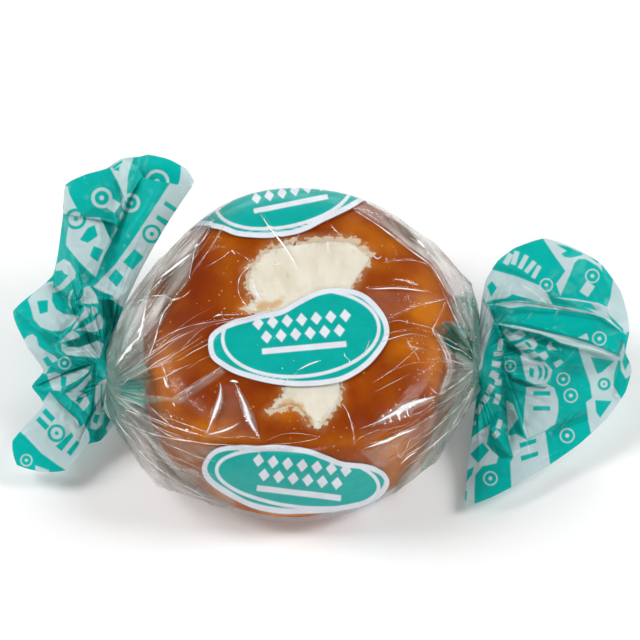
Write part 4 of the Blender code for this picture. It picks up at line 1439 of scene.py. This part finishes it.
# Folds on the fans: line, height of the ridge in mm, its half width in picture units, then a step: how much
# prouder the film to the left of the line (looking along it) stands, fading over the given width.
LEFT_FOLDS = (
    ("143,177 133,192 126,205 113,234 94,276", 0.25, 5, -0.9, 16),
    ("86,284 76,303 83,309 60,341 58,349 67,355 96,360", 0.7, 4, 0.7, 22),
    ("62,214 80,216 99,220 117,224", -0.5, 5, 0.5, 14),
    ("66,188 72,200 82,217", 0.2, 3, 0.0, 10),
    ("62,246 80,262 94,278", 0.3, 5, 0.0, 12),
    ("50,283 70,300 84,296", -0.4, 5, 0.3, 12),
    ("14,310 40,330 58,345", 0.4, 6, 0.3, 14),
    ("96,361 66,372 34,386", -0.6, 4, -0.6, 14),
    ("98,362 80,380 60,394", 0.4, 3, 0.4, 9),
    ("98,362 88,384 78,402", -0.4, 3, 0.0, 9),
    ("99,362 92,400 90,428", 0.4, 4, 0.5, 12),
    ("100,362 108,388 102,430", 0.5, 3, 0.5, 9),
    ("50,392 68,412 84,430", -0.3, 5, 0.3, 12),
    ("108,300 112,320 104,345", -0.6, 4, 0.0, 9),
    ("100,300 104,325 98,348", 0.5, 4, 0.0, 9),
    ("116,298 112,326 104,352", 0.5, 3, 0.0, 9),
)
RIGHT_FOLDS = (
    ("496,325 535,333 562,344 593,351 619,359", 0.5, 5, 1.5, 34),
    ("486,303 525,302 571,310 597,316 624,336", -0.45, 5, 0.3, 14),
    ("541,286 552,304 560,312", 0.35, 5, 0.0, 10),
    ("479,293 492,318 502,337 507,376 518,412 526,440", 0.6, 4, -0.9, 24),
    ("492,320 500,350 505,395 513,458", -0.4, 5, 0.0, 12),
    ("507,375 528,383 548,386", 0.5, 4, 0.6, 14),
    ("497,345 525,352 545,366", -0.5, 5, 0.0, 10),
    ("500,335 540,345 572,362", 0.4, 4, 0.0, 10),
    ("488,424 498,440 512,458", 0.35, 4, 0.4, 10),
    ("574,350 560,372 548,386", 0.25, 4, 0.0, 8),
    ("548,432 570,420 588,412", -0.3, 5, 0.2, 12),
    ("614,335 619,358 612,392 620,402", 0.35, 4, -0.4, 12),
    ("590,260 606,308 622,333", 0.3, 4, 0.0, 10),
    ("500,262 530,280 548,298", 0.2, 5, 0.0, 10),
    ("484,330 484,380 474,440", 0.4, 5, 0.0, 10),
)


def fold_rise(spots, folds):
    """How far the folds raise the film, the shade painted beside them, and the highlight painted on their
    crests.
    """
    rise = np.zeros(spots.shape[:2])
    shade = np.zeros(spots.shape[:2])
    lit = np.zeros(spots.shape[:2])
    for line, ridge, half_width, step, width in folds:
        line = smooth_curve(line, 3 * len(as_points(line)))
        side = np.zeros(spots.shape[:2])
        distance = np.full(spots.shape[:2], 1e9)
        for a, b in zip(line, line[1:]):
            length = np.linalg.norm(b - a)
            way = (b - a) / length
            off = spots - a - np.clip((spots - a) @ way, 0, length)[..., None] * way
            gap = np.linalg.norm(off, axis=-1)
            left = off[..., 0] * way[1] - off[..., 1] * way[0]
            side = np.where(gap < distance, np.sign(left), side)
            distance = np.minimum(distance, gap)
        along = line_distance(spots, line)[1]
        taper = np.clip(np.minimum(along + 0.02, 1.02 - along) * 7, 0, 1)
        tent = np.clip(1 - distance / (2.2 * half_width), 0, 1) ** 1.4
        rise += ridge * tent * taper
        if ridge > 0.3 or step:
            crest = np.clip(1 - distance / 1.7, 0, 1) * taper * (0.5 + 0.5 * np.sin(9 * along + 40 * ridge))
            lit = np.maximum(lit, 0.75 * crest)
        if ridge < 0:
            shade = np.maximum(shade, 0.55 * np.clip(1 - distance / (1.1 * half_width), 0, 1) * taper)
        if step:
            fade = np.clip(1 - distance / width, 0, 1) ** 1.2
            rise += step * fade * (side > 0) * taper
            low = side * np.sign(step) < 0
            near = np.clip(1 - distance / 7, 0, 1)
            shade = np.maximum(shade, min(1, abs(step)) * 0.6 * near * low * taper)
    return rise, shade * (1 - lit), lit


def painted(spots, shades, lights):
    """The shade and the light that are painted on a fan."""
    shade = np.zeros(spots.shape[:2])
    light = np.zeros(spots.shape[:2])
    for corners, strength, fade in shades:
        shade = np.maximum(shade, strength * smoothstep(-0.6 * fade, fade, polygon_field(spots, corners)))
    for line, half_width, strength in lights:
        distance, along = line_distance(spots, smooth_curve(line, 4 * len(as_points(line))))
        ends = np.clip(np.minimum(along, 1 - along) * 6 + 0.15, 0, 1)
        light = np.maximum(light, strength * np.clip(1.3 - distance / half_width, 0, 1) * ends)
    return shade, light


def fan_print(spots, shapes, rings, marks):
    """Distance into the white: white and teal shapes in their order, then bars, then rings with a dot."""
    white = np.full(spots.shape[:2], OUTSIDE)
    for pale, corners in shapes:
        field = polygon_field(spots, corners)
        white = np.maximum(white, field) if pale else np.minimum(white, -field)
    for x, y, half_width, half_height, lean in marks:
        a, b = leaning(spots[..., 0] - x, spots[..., 1] - y, lean)
        white = np.maximum(white, np.minimum(half_width - np.abs(a), half_height - np.abs(b)))
    for x, y, radius, band, pale in rings:
        reach = np.hypot(spots[..., 0] - x, spots[..., 1] - y)
        shape = np.maximum(band / 2 - np.abs(reach - radius + band / 2), 0.34 * (radius - band) - reach)
        white = np.maximum(white, shape) if pale else np.minimum(white, -shape)
    return white


FRONT_COLUMNS, FRONT_ROWS = 470, 160
BACK_COLUMNS, BACK_ROWS = 240, 90
PLEATS_PER_FAN = 46
STRIPE = 9.0  # a stripe of teal and one of white on the back wall, in mm


def make_fan_front(name, end, folds, print_shapes, painting, crumpled, seed, material):
    """A fan's front wall, with the photograph's folds and print."""
    columns, rows = FRONT_COLUMNS, FRONT_ROWS
    front = horn(end, columns, rows)
    share = np.linspace(0, 1, rows)[:, None]
    place = np.linspace(0, 1, columns)[None, :]
    world = to_world(end, front)
    spots = picture(world)
    free = smoothstep(0.0, 0.35, share)
    rise, shade, lit = fold_rise(spots, folds)
    painted_hollow_shade, light = painted(spots, *painting)
    shade, lit = np.maximum(shade, painted_hollow_shade) * (1 - light), np.maximum(lit, light)
    rise = rise * free
    rng = random.Random(seed)
    for _ in range(PLEATS_PER_FAN):
        at = rng.uniform(0, 1)
        width = rng.uniform(0.006, 0.02)
        reach = rng.uniform(0.25, 0.95)
        gap = np.abs(place - at - 0.04 * rng.uniform(-1, 1) * share)
        tent = np.clip(1 - gap / width, 0, 1) ** 1.2
        envelope = smoothstep(0.02, 0.2, share) * (1 - smoothstep(reach * 0.5, reach, share))
        rise = rise + crumpled * rng.choice((-1, 1)) * rng.uniform(0.15, 0.4) * tent * envelope
    crumple = np.abs(noise_at(front, 0.45, 3, seed))
    near_twist = smoothstep(0.05, 0.3, share) * (1 - 0.75 * smoothstep(0.2, 0.75, share))
    rise = rise + 0.9 * crumpled * (0.25 - crumple) * near_twist
    rise = rise + 0.16 * noise_at(front, 0.25, 2, seed + 3.0) * free
    front = front + rise[..., None] * (0, 0, 1)
    world = to_world(end, front)
    world[..., 2] = np.maximum(world[..., 2], 0.1)
    # shade and highlights are painted into the print's colour through these attributes
    attributes = {"white": fan_print(spots, *print_shapes), "dark": shade, "lit": lit}
    made = mesh_from_grid(name + "_front", world, False, attributes, material)
    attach(made, "root")


def make_fan_back(name, end, inner, seed, material):
    """A fan's back wall. Its print is a guess, but for the strip that shows over the front wall's rim."""
    back = horn(end, BACK_COLUMNS, BACK_ROWS, behind=True)
    share = np.linspace(0, 1, BACK_ROWS)[:, None]
    loose = smoothstep(0.1, 0.5, share) * (1 - 0.7 * share)
    back[..., 2] += 0.25 * noise_at(back, 0.3, 2, seed + 8.0) * loose
    world = to_world(end, back)
    world[..., 2] = np.maximum(world[..., 2], 0.1)
    stripe = (run_lengths(back[-1])[None, :] + 1.5 * share) % STRIPE
    white = np.minimum(stripe - 5.0, STRIPE - stripe)
    bar = np.minimum(0.5 - np.abs((share * 14) % 3.2 - 1.6), 1.1 - np.abs(stripe - 7.0))
    ring = 0.22 - np.abs(np.hypot((share * 14) % 4.6 - 2.3, stripe - 2.4) - 0.9)
    white = UNITS * np.maximum(np.minimum(white, -bar), ring)
    spots = picture(world)
    white = np.where(spots[..., 1] < inner[0], fan_print(spots, *inner[1:]), white)
    made = mesh_from_grid(name + "_back", world, False, {"white": white}, material)
    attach(made, "root")


def make_fan(name, end, folds, print_shapes, painting, inner, crumpled, seed):
    """Both walls of a fan."""
    material = fan_material()
    make_fan_front(name, end, folds, print_shapes, painting, crumpled, seed, material)
    make_fan_back(name, end, inner, seed, material)


# The floor, the light and the camera

# Each softbox: name, place in metres, width, height and power. All of them face the sweet.
SOFTBOXES = (
    ("left_key", (-0.42, 0.06, 0.42), 0.22, 0.34, 2.5),
    ("right_key", (0.44, 0.02, 0.40), 0.18, 0.34, 2.1),
    ("front", (0.02, -0.55, 0.36), 0.42, 0.10, 1.35),
    ("back", (0.05, 0.55, 0.20), 0.40, 0.06, 1.0),
)
FLOOR_HALF = 3.0
CAMERA_DISTANCE = 1000.0
SENSOR = 36.0


def make_stage():
    """A pale floor, a sky that is bright near the horizon, four softboxes and the camera."""
    mesh = bpy.data.meshes.new("floor")
    corners = [(x * FLOOR_HALF, y * FLOOR_HALF, 0) for x, y in ((-1, -1), (1, -1), (1, 1), (-1, 1))]
    mesh.from_pydata(corners, [], [(0, 1, 2, 3)])
    floor = link(bpy.data.objects.new("floor", mesh))
    mesh.materials.append(floor_material())

    world = bpy.data.worlds.new("studio")
    world.use_nodes = True
    tree = world.node_tree
    way = tree.nodes.new("ShaderNodeTexCoord")
    parts = tree.nodes.new("ShaderNodeSeparateXYZ")
    tree.links.new(way.outputs["Generated"], parts.inputs[0])
    dim = tree.nodes.new("ShaderNodeMapRange")
    dim.inputs[1].default_value, dim.inputs[2].default_value = -0.1, 0.55
    dim.inputs[3].default_value, dim.inputs[4].default_value = 0.62, 0.06
    tree.links.new(parts.outputs["Z"], dim.inputs[0])
    tree.links.new(dim.outputs[0], tree.nodes["Background"].inputs[1])
    tree.nodes["Background"].inputs[0].default_value = (1.0, 1.0, 1.0, 1.0)
    bpy.context.scene.world = world

    for name, place, width, height, power in SOFTBOXES:
        data = bpy.data.lights.new(name, "AREA")
        data.shape = "RECTANGLE"
        data.size, data.size_y, data.energy = width, height, power
        light = link(bpy.data.objects.new(name, data))
        light.location = place
        way = Vector((0, 0, EYE_HEIGHT * MM)) - Vector(place)
        light.rotation_euler = way.to_track_quat("-Z", "Y").to_euler()

    data = bpy.data.cameras.new("camera")
    data.sensor_width = SENSOR
    data.lens = SENSOR * CAMERA_DISTANCE / (PICTURE_WIDTH / UNITS)
    data.clip_end = 50.0
    camera = link(bpy.data.objects.new("camera", data))
    middle = in_space(PICTURE_WIDTH / 2, PICTURE_WIDTH / 2)
    camera.location = Vector((middle + CAMERA_DISTANCE * PROUD) * MM)
    camera.rotation_euler = Vector(-PROUD).to_track_quat("-Z", "Y").to_euler()
    bpy.context.scene.camera = camera
    bpy.context.scene.view_settings.view_transform = "Standard"


make_stage()
make_caramel()
make_cream()
film = make_film()
make_fan("left_fan", LEFT_END, LEFT_FOLDS, LEFT_PRINT, (LEFT_SHADE, LEFT_LIGHT), LEFT_INNER, 0.9, 11.0)
make_fan("right_fan", RIGHT_END, RIGHT_FOLDS, RIGHT_PRINT, (RIGHT_SHADE, RIGHT_LIGHT), RIGHT_INNER, 0.5, 23.0)
make_creases(film)
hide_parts("wrapper")
